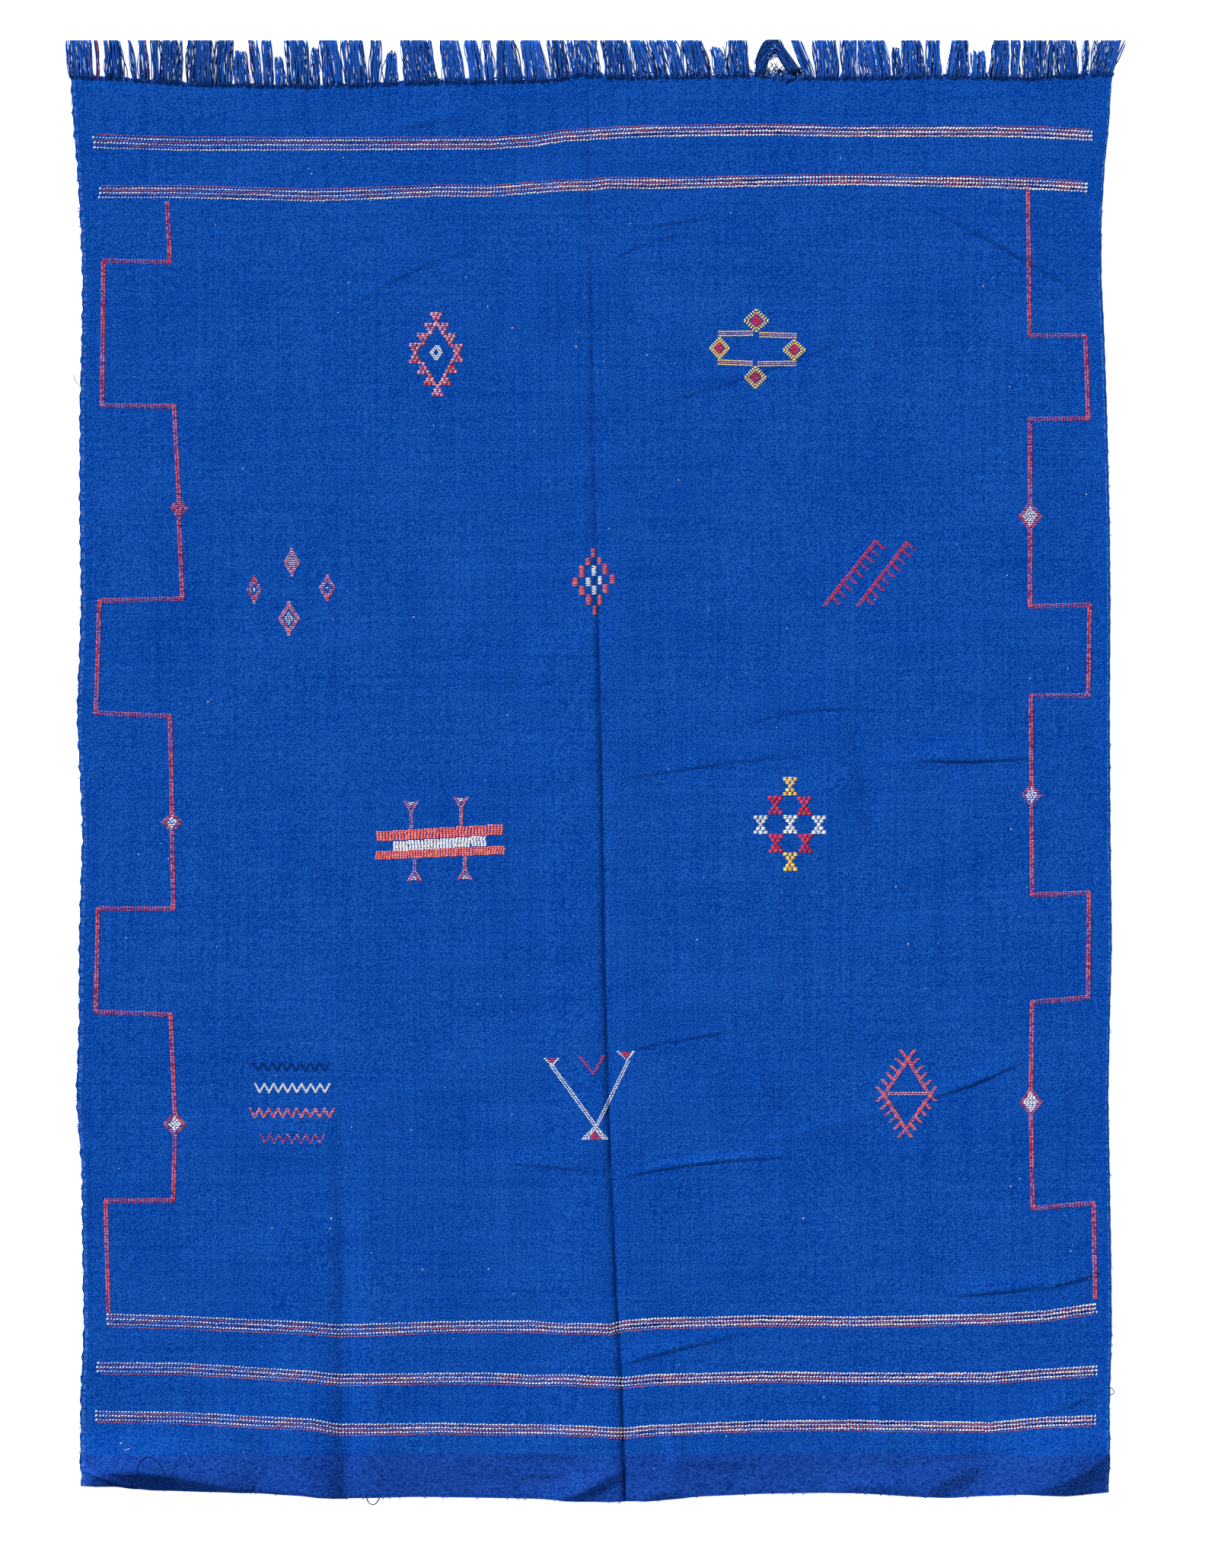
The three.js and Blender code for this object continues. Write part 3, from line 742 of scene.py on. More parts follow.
def dotted_lozenge(x, y, half_width, half_height, rng, shade, core, layers=2, pitch=2.7):
    """Outline stitches of a lozenge, layer inside layer, and the rows of its core, which is given by
    its half width and half height."""
    outline = []
    for middle, half, level in lozenge_rows(x, y, half_width, half_height, 3.0):
        for layer in range(layers):
            offset = half - 1.2 - 3.4 * layer
            if offset < -0.5 and layer > 0:
                continue
            for side in (-1, 1):
                outline += dots(middle + side * max(offset, 0.9), level, 1, 1, 3.4, 2.6, rng, shade, 0.5)
    inner = [(middle - half, middle + half, level)
             for middle, half, level in lozenge_rows(x, y, core[0], core[1], pitch) if half > 0.8]
    return outline, inner


def tooth(x, y, way, rng):
    """A small triangle of three steps, 3, 2 and 1 wide. way is 1 for point up, -1 for point down."""
    spots = []
    for row, count in enumerate((3, 2, 1)):
        level = y + way * row * 5.8
        for half in (-1.35, 1.35):
            spots += dots(x, level + half, count, 6.2, 6.9, 3, rng, 0.5, 0.5)
    return spots


def hourglass(x, y, rng):
    """An hourglass of five steps."""
    spots = []
    for row, count in zip((-2, -1, 0, 1, 2), (3, 2, 1, 2, 3)):
        for half in (-1.3, 1.3):
            spots += dots(x, y + row * 5.4 + half, count, 7.3, 8.3, 2.9, rng, 0.6, 0.4)
    return spots


def ladder(start, end, rng):
    """A side line: upright, two close columns of dashes; level, three thin lines."""
    run = abs(end[0] - start[0])
    climb = abs(end[1] - start[1])
    spots = []
    if climb > run:
        rows = round(climb / 2.8)
        for row in range(rows + 1):
            x, y = part_way(start, end, row / rows)
            spots += dots(x, y, 2, 3.4, 3.7, 2.6, rng, 0.45, 0.5)
        return spots
    columns = round(run / 4.2)
    for column in range(columns + 1):
        x, y = part_way(start, end, column / columns)
        for level in (-2.5, 0, 2.5):
            spots += dots(x, y + level, 1, 1, 4.2, 1.4, rng, 0.45 + 0.1 * level, 0.4)
    return spots


def slanted_rows(left, right, top, bottom, count):
    """Level rows that fill a slanting bar. top and bottom are heights at its left and right ends."""
    rows = []
    steps = max(2, round((right - left) / 24))
    for step in range(steps):
        a, b = step / steps, (step + 1) / steps
        middle = (a + b) / 2
        high = top[0] + middle * (top[1] - top[0])
        low = bottom[0] + middle * (bottom[1] - bottom[0])
        x0 = left + a * (right - left)
        x1 = left + b * (right - left)
        rows += [(x0, x1, low + (row + 0.5) / count * (high - low)) for row in range(count)]
    return rows


def triangle_rows(apex, base_left, base_right, pitch=WEFT_PITCH):
    """Rows that fill a triangle from its apex to its base."""
    base = (base_left[1] + base_right[1]) / 2
    count = max(2, round(abs(base - apex[1]) / pitch))
    rows = []
    for row in range(1, count + 1):
        share = row / count
        left = part_way(apex, base_left, share)[0]
        right = part_way(apex, base_right, share)[0]
        rows.append((left, right, apex[1] + share * (base - apex[1])))
    return rows


def goblet(x, head, neck, foot, rng):
    """A two-stitch stem that spreads into a triangular head. Returns its stitches and its white spot."""
    spots = stroke([(x, neck), (x, foot)], 5.8, rng, 0.5, 0.5, 2.9)
    way = 1 if head > neck else -1
    rows = max(3, round(abs(head - neck) / WEFT_PITCH))
    for row in range(rows + 1):
        share = row / rows
        half = 3 + share * 7.7
        level = neck + share * (head - neck)
        for side in (-1, 1):
            spots += dots(x + side * (half - 1.2), level, 1, 1, 3, 2.5, rng, 0.6, 0.4)
            if half > 6:
                spots += dots(x + side * (half - 4.4), level, 1, 1, 3.2, 2.5, rng, 0.3, 0.4)
    spot = [(x - 4.5, x + 4.5, head - way * 1.4), (x - 2.8, x + 2.8, head - way * 4)]
    return spots, spot


def zigzag(left, right, top, bottom, valleys):
    """The corners of a zigzag with that many valleys, ending high at both ends."""
    count = 2 * valleys
    return [(left + i / count * (right - left), bottom if i % 2 else top) for i in range(count + 1)]


def golden_diamond(x, y, half_width, half_height, rng):
    """A golden diamond's slanting teeth and the ring inside them, and the rows of its red core."""
    teeth = []
    ring = []
    for sx in (-1, 1):
        for sy in (-1, 1):
            slant = np.degrees(np.arctan2(sy * half_width, sx * half_height))
            for i in range(6):
                share = (i + 0.35) / 5.7
                tx = x + sx * half_width * (1 - share) * 0.93
                ty = y + sy * half_height * share * 0.93
                teeth.append((tx, ty, 5.4, 2.2, slant, 1.0 + rng.uniform(-0.15, 0.15)))
            for i in range(4):
                share = (i + 0.5) / 4
                tx = x + sx * half_width * (1 - share) * 0.68
                ty = y + sy * half_height * share * 0.68
                ring.append((tx, ty, 4.8, 2.2, slant + 90, 0.35 + rng.uniform(-0.2, 0.2)))
    core = [(middle - half, middle + half, level) for middle, half, level
            in lozenge_rows(x, y, half_width * 0.44, half_height * 0.48, 2.6)]
    return teeth + ring, core


def stripe_spots(side, left, right, spacing, heights, rng):
    """One stripe's three rows of white dashes and its thin red lines: two between the rows and one
    outside. The yarn lies fuller, and the rows closer, towards the right."""
    white = []
    red = []
    pitch = 4.62

    def level_at(x, row):
        return np.interp(x, STRIPE_PLACES, heights) + row * np.interp(x, (-600, 100), spacing)

    for row in (-1, 0, 1):
        start = left + rng.uniform(0, 3)
        end = right - rng.uniform(0, 3)
        places = np.arange(start, end, pitch)
        fullness = np.interp(places, (-700, -420, -60, 160, 700), (0.78, 0.86, 0.92, 0.98, 1.02))
        fullness *= 0.9 + 0.16 * np.sin(places / 61 + 3 * row) * np.sin(places / 23 + row)
        for x, full in zip(places, fullness):
            y = level_at(x, row) + rng.normal(0, 0.25)
            length = 5.1 * rng.uniform(0.76, 1.12) * full ** 0.5
            white.append((x, y, length, 3.1 * full, 12 + rng.normal(0, 8),
                          rng.uniform(0.4, 1.05) * full))
        for end_x in (start - 1.5, end + 1.5):
            white.append((end_x, level_at(end_x, row), 4.4, 2.4, 75, 0.8))
    outer = 1.62 if side == "head" else -1.62
    # The red lines run from red to a dark purple, partly the yarn's own colour and partly painted shade
    # between the white rows; their shade is lower towards the right
    for row in (-0.5, 0.5, outer):
        places = np.arange(left + rng.uniform(2, 8), right - rng.uniform(2, 8), pitch * 1.02)
        drift = np.sin(places / 97 + 4 * row) + np.sin(places / 31 + 8 * row)
        widths = np.interp(places, (-700, -100, 160, 700), (1.5, 1.7, 2.5, 2.5))
        base = np.interp(places, (-700, 0, 160, 700), (0.42, 0.42, 0.3, 0.3))
        for x, swing, width, shade in zip(places, drift, widths, base):
            width = 1.6 if row == outer else width
            red.append((x, level_at(x, row) + rng.normal(0, 0.2), 4.9 * rng.uniform(0.8, 1.1), width,
                        rng.normal(0, 3),
                        shade + 0.13 * swing + rng.uniform(-0.3, 0.3) + (0.3 if row == outer else 0)))
    return white, red


# The small figures. Places are in millimetres on the rug, and a size is a half width and half height
# or, for a block, a width and height.

TOOTHED_LOZENGE = (-229.4, 601.2)
# From the lozenge's middle: its teeth and the corners of its ring
TEETH_DOWN = ((-0.5, 58.9), (-8.8, 43.5), (8.8, 43.5), (-19.3, 28.8), (19, 28), (-31, 14.3), (29, 12.5))
TEETH_UP = ((-31, -9.9), (29.5, -8), (-19.3, -25.4), (20.9, -24), (-10, -41.4), (11.8, -41.4),
            (1.3, -57.4))
RING_CORNERS = ((1, 12.5), (-7.8, 3.5), (-1, -6.5), (5.5, 3.5))
GOLDEN_DIAMONDS = ((232.5, 650.5, 18.7, 17.3), (179.3, 610.6, 14.7, 16), (287.2, 608, 16.7, 15.3),
                   (231.2, 568.4, 16, 16.7))
LADDER_BARS = (((177, 631.6), (228, 632.3)), ((236.3, 630.3), (291.3, 628.6)),
               ((176.2, 590.6), (227.3, 588.6)), ((234.2, 588), (290.6, 589)))
LADDER_STEPS = 24
# Each with its shade
DOTTED_LOZENGES = ((-438.9, 301.3, 11.8, 19.3, 0.7), (-493.1, 262, 11, 19.3, 0.35),
                   (-387.6, 264.7, 12.1, 18.2, 0.45), (-443, 220.3, 15.5, 23.8, 0.65))
RED_BLOCKS = (
    (-3, 314.8, 8.4, 13.2), (-10.5, 302.5, 8.8, 10.6), (5.8, 303.4, 7.5, 10.6),
    (-19.6, 288.3, 10.2, 16.3), (14.3, 291.2, 9.9, 15.8), (-29, 272.7, 10.6, 12.3),
    (24.8, 277.3, 10.6, 13.6), (-19.1, 260.8, 10.6, 13.3), (14.6, 263.3, 10.5, 12.8),
    (-9.6, 247.3, 10.1, 15.4), (6.2, 247.3, 7.3, 15), (-0.9, 232.3, 8, 13.2),
)
WHITE_BLOCKS = ((-1.7, 289, 9.2, 15), (-10.1, 273.1, 9.7, 13.2), (6.6, 275.3, 7.2, 13.2),
                (-1.3, 261.3, 9.9, 13.2))
# A comb's two ends, and how far a tooth reaches from its back
COMBS = (((330.6, 238.9), (405.2, 332.1)), ((379.5, 238.9), (450, 330)))
COMB_TOOTH = (11, -10.5)
YELLOW_HOURGLASSES = ((281.4, -22.2), (281.7, -131))
RED_HOURGLASSES = ((259.8, -49.4), (302.1, -50.2), (260.8, -104.6), (303.6, -104.6))
WHITE_HOURGLASSES = ((238.9, -77.7), (281.7, -77.1), (322.9, -77.7))
# The bars' left and right ends, tops at both, bottoms at both, and rows
BARS = (
    (-317.4, -133.5, (-87.5, -76.7), (-102, -92), 5),
    (-318, -130.7, (-116.3, -107.8), (-128.6, -120.1), 4),
    (-292.7, -158, (-102.2, -93.5), (-116.3, -108.2), 5),
)
# The goblets' place across, and the heights of their head, neck and foot
GOBLETS = ((-266.3, -44.4, -57.8, -85), (-194.3, -38.8, -51.4, -79.4), (-261.5, -158, -145.4, -128),
           (-188.7, -156, -143.3, -124))
# The zigzags' yarn; left and right ends, top, bottom and valleys; width, shade, swing of the shade
# and pitch
ZIGZAGS = (
    ("navy", (-494.8, -385.5, -421.3, -432.7, 8), (4.2, 0.5, 0.6, 2.3)),
    ("white", (-492, -384.5, -452, -463.9, 8), (3.5, 0.75, 0.25, 2.0)),
    ("pink", (-499.1, -377.9, -487.6, -500.4, 9), (4.2, 0.45, 0.6, 2.2)),
    ("pink", (-484, -392, -525.5, -537.3, 7), (3.2, 0.25, 0.6, 3.0)),
)
# The V's arms with their width, and the white and red corners of its tips
V_ARMS = (((-62.9, -425.9), (-1, -511), 8.6), ((47.1, -419.6), (2.5, -511), 6.9))
V_TIPS = (
    (((-62.9, -428), (-75.5, -415.4), (-51.3, -415.4)), ((-63.4, -422.7), (-69, -416), (-57.8, -416))),
    (((46.1, -419.6), (30.3, -405.3), (57.7, -405.3)), ((44.5, -415.9), (36.6, -407), (50.3, -407))),
    (((-0.2, -510.1), (-21.3, -531.4), (19.2, -531.4)), ((-1.6, -519.6), (-8.6, -531.4), (8.2, -531.4))),
)
SMALL_V = ((-22.3, -413.3), (-2.9, -436.9), (11.4, -411.7))
TWIG_BARS = ((422.7, 479.6, -464.4), (422.7, 479.6, -467.4))
TWIG_LOZENGE = ((451.4, -416.9), (416.9, -467.8), (448.4, -517.5), (483, -469.5))
TWIGS = (
    ((451.4, -416.9), (440.9, -403.4)), ((451.4, -416.9), (460.6, -403.4)),
    ((444.6, -424.9), (435.4, -416)), ((436.6, -435), (428.2, -426.5)),
    ((429.9, -445.1), (421.1, -436.6)), ((423.2, -455.2), (414.7, -446.3)),
    ((457.7, -424), (465.3, -416)), ((464, -434.1), (472, -426.5)),
    ((470.3, -444.2), (477.9, -436.6)), ((477.1, -453.5), (484.2, -447.2)),
    ((416.9, -467.8), (407.2, -456.9)), ((416.9, -467.8), (407.2, -477.1)),
    ((483, -469.5), (490.5, -456.9)), ((483, -469.5), (490.5, -475.8)),
    ((423.2, -478.8), (413.5, -487.6)), ((429.1, -489.7), (419.4, -496.9)),
    ((435, -498.1), (426.5, -506.5)), ((440.9, -508.2), (432.4, -517.1)),
    ((474.5, -477.1), (483, -487.2)), ((468.6, -487.2), (475.8, -496.9)),
    ((461.9, -498.1), (469.5, -507.4)), ((455.2, -509.1), (461.5, -517.9)),
    ((448.4, -517.5), (438.8, -527.6)), ((448.4, -517.5), (456, -528)),
)


def toothed_lozenge(yarns, rng):
    """A lozenge of small triangles with a white ring inside."""
    x, y = TOOTHED_LOZENGE
    for dx, dy in TEETH_DOWN:
        yarns["pink"] += tooth(x + dx, y + dy, -1, rng)
    for dx, dy in TEETH_UP:
        yarns["pink"] += tooth(x + dx, y + dy, 1, rng)
    ring = [(x + dx, y + dy) for dx, dy in (*RING_CORNERS, RING_CORNERS[0])]
    yarns["white"] += stroke(ring, 6.6, rng, 0.8, 0.3, 2.4)


def joined_diamonds(yarns, rng):
    """Four golden diamonds joined by ladder bars, each a pink line between two golden ones."""
    for row in GOLDEN_DIAMONDS:
        golden, core = golden_diamond(*row, rng)
        yarns["golden"] += golden
        yarns["crimson"] += filled(core, 3.6, 3, rng, 0.5)
    lines = (("golden", 3, 0.95, 0.3), ("pink", 0, 0.55, 0.4), ("golden", -3, 0.95, 0.3))
    for bar_start, bar_end in LADDER_BARS:
        for step in range(LADDER_STEPS):
            x, y = part_way(bar_start, bar_end, (step + 0.5) / LADDER_STEPS)
            for name, rise, shade, spread in lines:
                yarns[name] += dots(x, y + rise, 1, 1, 2.2, 2, rng, shade, spread)


def dotted_lozenges(yarns, rng):
    """Four dotted lozenges with white hearts, larger in the paler ones."""
    for x, y, half_width, half_height, shade in DOTTED_LOZENGES:
        share = 0.45 if shade > 0.5 else 0.22
        core = (half_width * share, half_height * share)
        outline, heart = dotted_lozenge(x, y, half_width, half_height, rng, shade, core)
        yarns["pink"] += outline
        yarns["white"] += filled(heart, 4, 1.7, rng, 0.4)


def stepped_lozenge(yarns, rng):
    """A lozenge of red blocks with white ones inside."""
    for name, shade, blocks in (("coral", 0.5, RED_BLOCKS), ("white", 0.85, WHITE_BLOCKS)):
        for x, y, width, height in blocks:
            count = round(height / 2.5)
            rows = [(x - width / 2, x + width / 2, y + ((row + 0.5) / count - 0.5) * height)
                    for row in range(count)]
            yarns[name] += filled(rows, width, 2.0, rng, shade, 0.25)


def combs(yarns, rng):
    """Two slanting combs with nine teeth each."""
    for low, high in COMBS:
        yarns["crimson"] += stroke([low, high], 7.4, rng, 0.7, 0.5)
        for i in range(9):
            x, y = part_way(low, high, 1 - i * 0.1075)
            tip = (x + COMB_TOOTH[0], y + COMB_TOOTH[1])
            yarns["crimson"] += stroke([(x, y), tip], 5.4, rng, 0.6)


def barred_figure(yarns, rng):
    """Two coral bars with a white one between them, and goblets above and below."""
    upper, lower, middle = (slanted_rows(*bar) for bar in BARS)
    yarns["coral"] += filled(upper + lower, 4.2, 3.9, rng, 0.6, 0.3)
    yarns["white"] += filled(middle, 4.4, 3.1, rng, 0.85, 0.3)
    for row in GOBLETS:
        spots, white = goblet(*row, rng)
        yarns["pink"] += spots
        yarns["white"] += filled(white, 4, 2, rng, 0.6, 0.3)


def hourglasses(yarns, rng):
    """Nine hourglasses that stand as a lozenge."""
    for name, places in (("golden", YELLOW_HOURGLASSES), ("crimson", RED_HOURGLASSES),
                         ("white", WHITE_HOURGLASSES)):
        for x, y in places:
            yarns[name] += hourglass(x, y, rng)


def zigzag_rows(yarns, rng):
    """Four zigzags, one below the other."""
    for name, extent, (width, shade, spread, pitch) in ZIGZAGS:
        yarns[name] += stroke(zigzag(*extent), width, rng, shade, spread, pitch)


def tipped_v(yarns, rng):
    """A large V with a red and white triangle at each corner, and a small V inside it."""
    for top, bottom, width in V_ARMS:
        rows = round((top[1] - bottom[1]) / 2.6)
        for row in range(rows + 1):
            x, y = part_way(top, bottom, row / rows)
            yarns["white"] += dots(x, y, 2, width / 2, width / 2.5, 2.1, rng, 0.8, 0.3)
    for white_corners, red_corners in V_TIPS:
        apex, left, right = red_corners
        yarns["crimson"] += filled(triangle_rows(*red_corners, 2.5), 3.6, 2.3, rng, 0.5, 0.4)
        for row_left, row_right, level in triangle_rows(*white_corners, 2.5):
            share = (level - apex[1]) / (left[1] - apex[1])
            parts = [(row_left, row_right, level)]
            if share > 0:
                gap_left = part_way(apex, left, share)[0] - 0.6
                gap_right = part_way(apex, right, share)[0] + 0.6
                parts = [(row_left, gap_left, level), (gap_right, row_right, level)]
            yarns["white"] += filled(parts, 4, 1.8, rng, 0.85, 0.15)
    yarns["crimson"] += stroke(SMALL_V, 4.8, rng, 0.65, 0.4)


def twigged_lozenge(yarns, rng):
    """A lozenge with twigs all round and a double bar across it."""
    yarns["coral"] += stroke(TWIG_LOZENGE + TWIG_LOZENGE[:1], 6.4, rng, 0.6, 0.5, 2.4)
    for twig in TWIGS:
        yarns["coral"] += stroke(twig, 5.6, rng, 0.6, 0.5, 2.4)
    yarns["pink"] += filled(TWIG_BARS, 4.6, 1.6, rng, 0.75, 0.35)


def figure_spots(rng):
    """Every figure's stitches, by yarn."""
    yarns = {name: [] for name in ("white", "crimson", "coral", "pink", "golden", "navy")}
    for figure in (toothed_lozenge, joined_diamonds, dotted_lozenges, stepped_lozenge, combs,
                   barred_figure, hourglasses, zigzag_rows, tipped_v, twigged_lozenge):
        figure(yarns, rng)
    return yarns


def thread_paths(rng, spacing):
    """The fringe's threads: paths and shades."""
    paths = []
    shades = []
    rings = 8
    t = np.linspace(0, 1, rings)
    for root, width, lean, tip, short in BUNCHES:
        count = max(4, round(width / spacing))
        bunch_shade = rng.uniform(-0.12, 0.12)
        for i in range(count):
            place = (i + rng.uniform(0, 1)) / count - 0.5
            tip_place = np.clip(place + rng.normal(0, 0.13), -0.55, 0.55)
            x0 = root + place * width
            x1 = root + lean + tip_place * tip
            y0 = head_edge(x0) + rng.uniform(5, 9)
            y1 = TRIM_LINE - short - (max(0, rng.normal(-1.5, 4)) if short == 0 else
                                      abs(rng.normal(0, 7)))
            sway = sum(rng.normal(0, 1.8 / turn) * np.sin(turn * np.pi * t) for turn in (1, 2, 3))
            layer = rng.uniform(0, 1)
            x = x0 + (x1 - x0) * t ** 1.15 + sway
            y = y0 + (y1 - y0) * t
            z = 0.6 + layer * (3.0 - 1.2 * t) + 0.9 * np.sin(np.pi * np.minimum(1, 2 * t)) * layer
            paths.append(np.stack([x, y, z], 1))
            # Threads lower in the bunch get a darker shade: painted shade from the threads lying over them;
            # the rest varies at random
            shades.append(0.85 * layer - 0.08 + bunch_shade + rng.uniform(-0.2, 0.25))
    return np.array(paths) * MM, np.array(shades)


def curl_paths(rng, rings=14):
    """The bunch that has sprung over into an arch, with a small fan of loose ends under it."""
    paths = []
    shades = []
    arch = np.array(ARCH)
    t = np.linspace(0, 1, rings)
    for _ in range(80):
        size = rng.uniform(0.55, 1)
        place = (ARCH_PLACE[0] + 3 * (1 - size), ARCH_PLACE[1])
        corners = arch * size + rng.normal(0, 2.1, arch.shape) + place
        path = spline(corners, rings)
        path[:, 1] = np.clip(path[:, 1], CURL_LOW, TRIM_LINE)
        paths.append(np.column_stack([path, np.full(rings, rng.uniform(0.7, 4.2))]))
        shades.append(rng.uniform(-0.1, 0.9))
    for _ in range(64):
        x0 = ARCH_PLACE[0] + 6 + rng.uniform(-26, 28)
        x1 = x0 + rng.uniform(-24, 28)
        y = CURL_LOW + rng.uniform(4, 26) * t
        x = x0 + (x1 - x0) * t + rng.normal(0, 2) * np.sin(np.pi * t)
        paths.append(np.stack([x, y, 0.8 + 2.4 * rng.uniform(0, 1) * np.ones(rings)], 1))
        shades.append(rng.uniform(-0.1, 0.6))
    return np.array(paths) * MM, np.array(shades)


def band_pads(rng, tree):
    """The row of knots along the head: a line of slanting pads on the cloth's edge, and looser ones
    among the roots beyond it."""
    pads = []
    x = HEAD_EDGE["x"][0] + 2
    while x < HEAD_EDGE["x"][-1] - 1:
        y = head_edge(x) + HEAD_LAP
        pads.append((x, y + rng.normal(0, 1.1), 5.5 * rng.uniform(0.8, 1.25), 2.2 * rng.uniform(0.8, 1.2),
                     rng.choice((-30, 34)) + rng.normal(0, 14), rng.uniform(0.3, 0.95),
                     max(1.8, surface_height(tree, x, y - 2) - 0.2)))
        x += 3.1 * rng.uniform(0.85, 1.2)
    for _ in range(1500):
        x = rng.uniform(-752, 742)
        y = head_edge(x) + rng.uniform(KNOTS, np.interp(x, (-450, -50), (11, 15)))
        pads.append((x, y, rng.uniform(5, 8), rng.uniform(1.5, 2.4), rng.uniform(-75, 75),
                     rng.uniform(0, 0.8), rng.uniform(1.2, 3.2)))
    return pads


def core_line(rings=180):
    """The thick cord under the row of knots, as the one path of a tube."""
    x = np.linspace(HEAD_EDGE["x"][0], HEAD_EDGE["x"][-1], rings)
    return np.stack([x, head_edge(x) + KNOTS, np.full(rings, 1.15)], 1)[None] * MM


def red_end_paths(rng, rings=9):
    """The few red warp ends, which lie on top of the fringe."""
    t = np.linspace(0, 1, rings)
    paths = []
    for root, lean in RED_ENDS:
        x = root + lean * t + rng.normal(0, 1.5) * np.sin(np.pi * t)
        low = head_edge(root) + 6
        paths.append(np.stack([x, low + (TRIM_LINE - low) * t, np.full(rings, 4.2)], 1))
    return np.array(paths) * MM


def free_pads(name, pads, material):
    """Pads off the cloth: x, y, length, width, angle in degrees, shade and height of their middle."""
    points, faces = pad_template()
    pads = np.array(pads, float)
    angle = np.radians(pads[:, 4])[:, None]
    px = points[None, :, 0] * pads[:, 2, None]
    py = points[None, :, 1] * pads[:, 3, None]
    placed = np.stack([
        pads[:, 0, None] + px * np.cos(angle) - py * np.sin(angle),
        pads[:, 1, None] + px * np.sin(angle) + py * np.cos(angle),
        pads[:, 6, None] + points[None, :, 2] * 1.3,
    ], 2) * MM
    return copies(name, placed, faces, material, pads[:, 5])


def spline(corners, rings):
    """A smooth string of points through a few corners."""
    corners = np.array(corners, float)
    steps = np.linspace(0, len(corners) - 1, rings)
    padded = np.vstack([2 * corners[0] - corners[1], corners, 2 * corners[-1] - corners[-2]])
    path = []
    for step in steps:
        i = min(int(step), len(corners) - 2)
        t = step - i
        a, b, c, d = padded[i:i + 4]
        path.append(0.5 * (2 * b + (c - a) * t + (2 * a - 5 * b + 4 * c - d) * t ** 2
                           + (3 * b - a - 3 * c + d) * t ** 3))
    return np.array(path)


def cloth_tree():
    """A search tree over the finished cloth, for bedding stitches on it."""
    cloth = bpy.data.objects.get("woven_cloth")
    if cloth is None:
        raise RuntimeError("Weave the cloth before laying stitches on it")
    mesh = cloth.data
    corners = [vert.co[:] for vert in mesh.vertices]
    return BVHTree.FromPolygons(corners, [face.vertices[:] for face in mesh.polygons])


def loose_path(corners, tree, rings=24):
    """A loose thread on the cloth or, past its edge, just over the floor."""
    path = spline(corners, rings)
    heights = [max(surface_height(tree, x, y), 0.3) + 0.4 for x, y in path]
    return np.column_stack([path, heights]) * MM


def lint_spots(rng):
    """Flecks of lint all over the cloth, most of them dim."""
    spots = []
    for _ in range(LINT_COUNT):
        x = rng.uniform(-725, 715)
        y = rng.uniform(-1020, 970)
        size = rng.uniform(0.9, 2.0)
        spots.append((x, y, size * rng.uniform(1, 1.8), size, rng.uniform(0, 180),
                      rng.uniform(0, 1) ** 2))
    return spots


def fray_paths(rng, tree):
    """Short bits of yarn that stand out along the selvedges and the foot."""
    paths = []
    for side in [name for name, count in FRAYS.items() for _ in range(count)]:
        reach = rng.uniform(0.6, 2.4)
        run = rng.uniform(-5.5, 5.5)
        steps = np.array([(-1.6, 0), (reach, 0.3 * run), (reach * 0.8, 0.8 * run), (-1.2, run)])
        if side == "foot":
            x = rng.uniform(-735, 730)
            corners = np.column_stack([x + steps[:, 1], foot_edge(x) - steps[:, 0]])
        else:
            y = rng.uniform(-1025, 980)
            edge = np.interp(y, SIDE_EDGES["y"], SIDE_EDGES[side])
            out = -1 if side == "left" else 1
            corners = np.column_stack([edge + out * steps[:, 0], y + steps[:, 1]])
        height = surface_height(tree, *corners[0]) * np.linspace(0.9, 0.6, 6)
        paths.append(np.column_stack([spline(corners, 6), np.maximum(height, 0.6)]))
    return np.array(paths) * MM


def surface_height(tree, x, y):
    """Height of the cloth at a spot, or 0 off the cloth."""
    seat = tree.ray_cast(Vector((x * MM, y * MM, 0.1)), Vector((0, 0, -1)))[0]
    return seat.z / MM if seat else 0.0


class RUG_PG_cloth(bpy.types.PropertyGroup):
    thickness: FloatProperty(
        name="Thickness",
        description="Thickness of the woven cloth away from its hem and selvedges",
        default=0.002, min=0.001, max=0.004, unit="LENGTH",
    )
    cell: FloatProperty(
        name="Cell",
        description="Spacing of the mesh where the cloth lies flat",
        default=0.0145, min=0.006, max=0.05, unit="LENGTH",
    )
    unevenness: FloatProperty(
        name="Unevenness",
        description="How far the low swells between the folds lift the cloth",
        default=0.00022, min=0.0, max=0.001, unit="LENGTH",
    )


class RUG_PG_yarn(bpy.types.PropertyGroup):
    height: FloatProperty(
        name="Height",
        description="How far a laid-in stitch stands above the cloth",
        default=0.0008, min=0.0003, max=0.002, unit="LENGTH",
    )
    seed: IntProperty(
        name="Seed",
        description="Number that picks how the stitches vary",
        default=SEED, min=0, subtype="UNSIGNED",
    )


class RUG_PG_fringe(bpy.types.PropertyGroup):
    spacing: FloatProperty(
        name="Spacing",
        description="Width of roots that each warp end takes",
        default=0.00052, min=0.0004, max=0.005, unit="LENGTH",
    )
    radius: FloatProperty(
        name="Radius",
        description="Radius of a loose warp end",
        default=0.0007, min=0.0002, max=0.002, unit="LENGTH",
    )


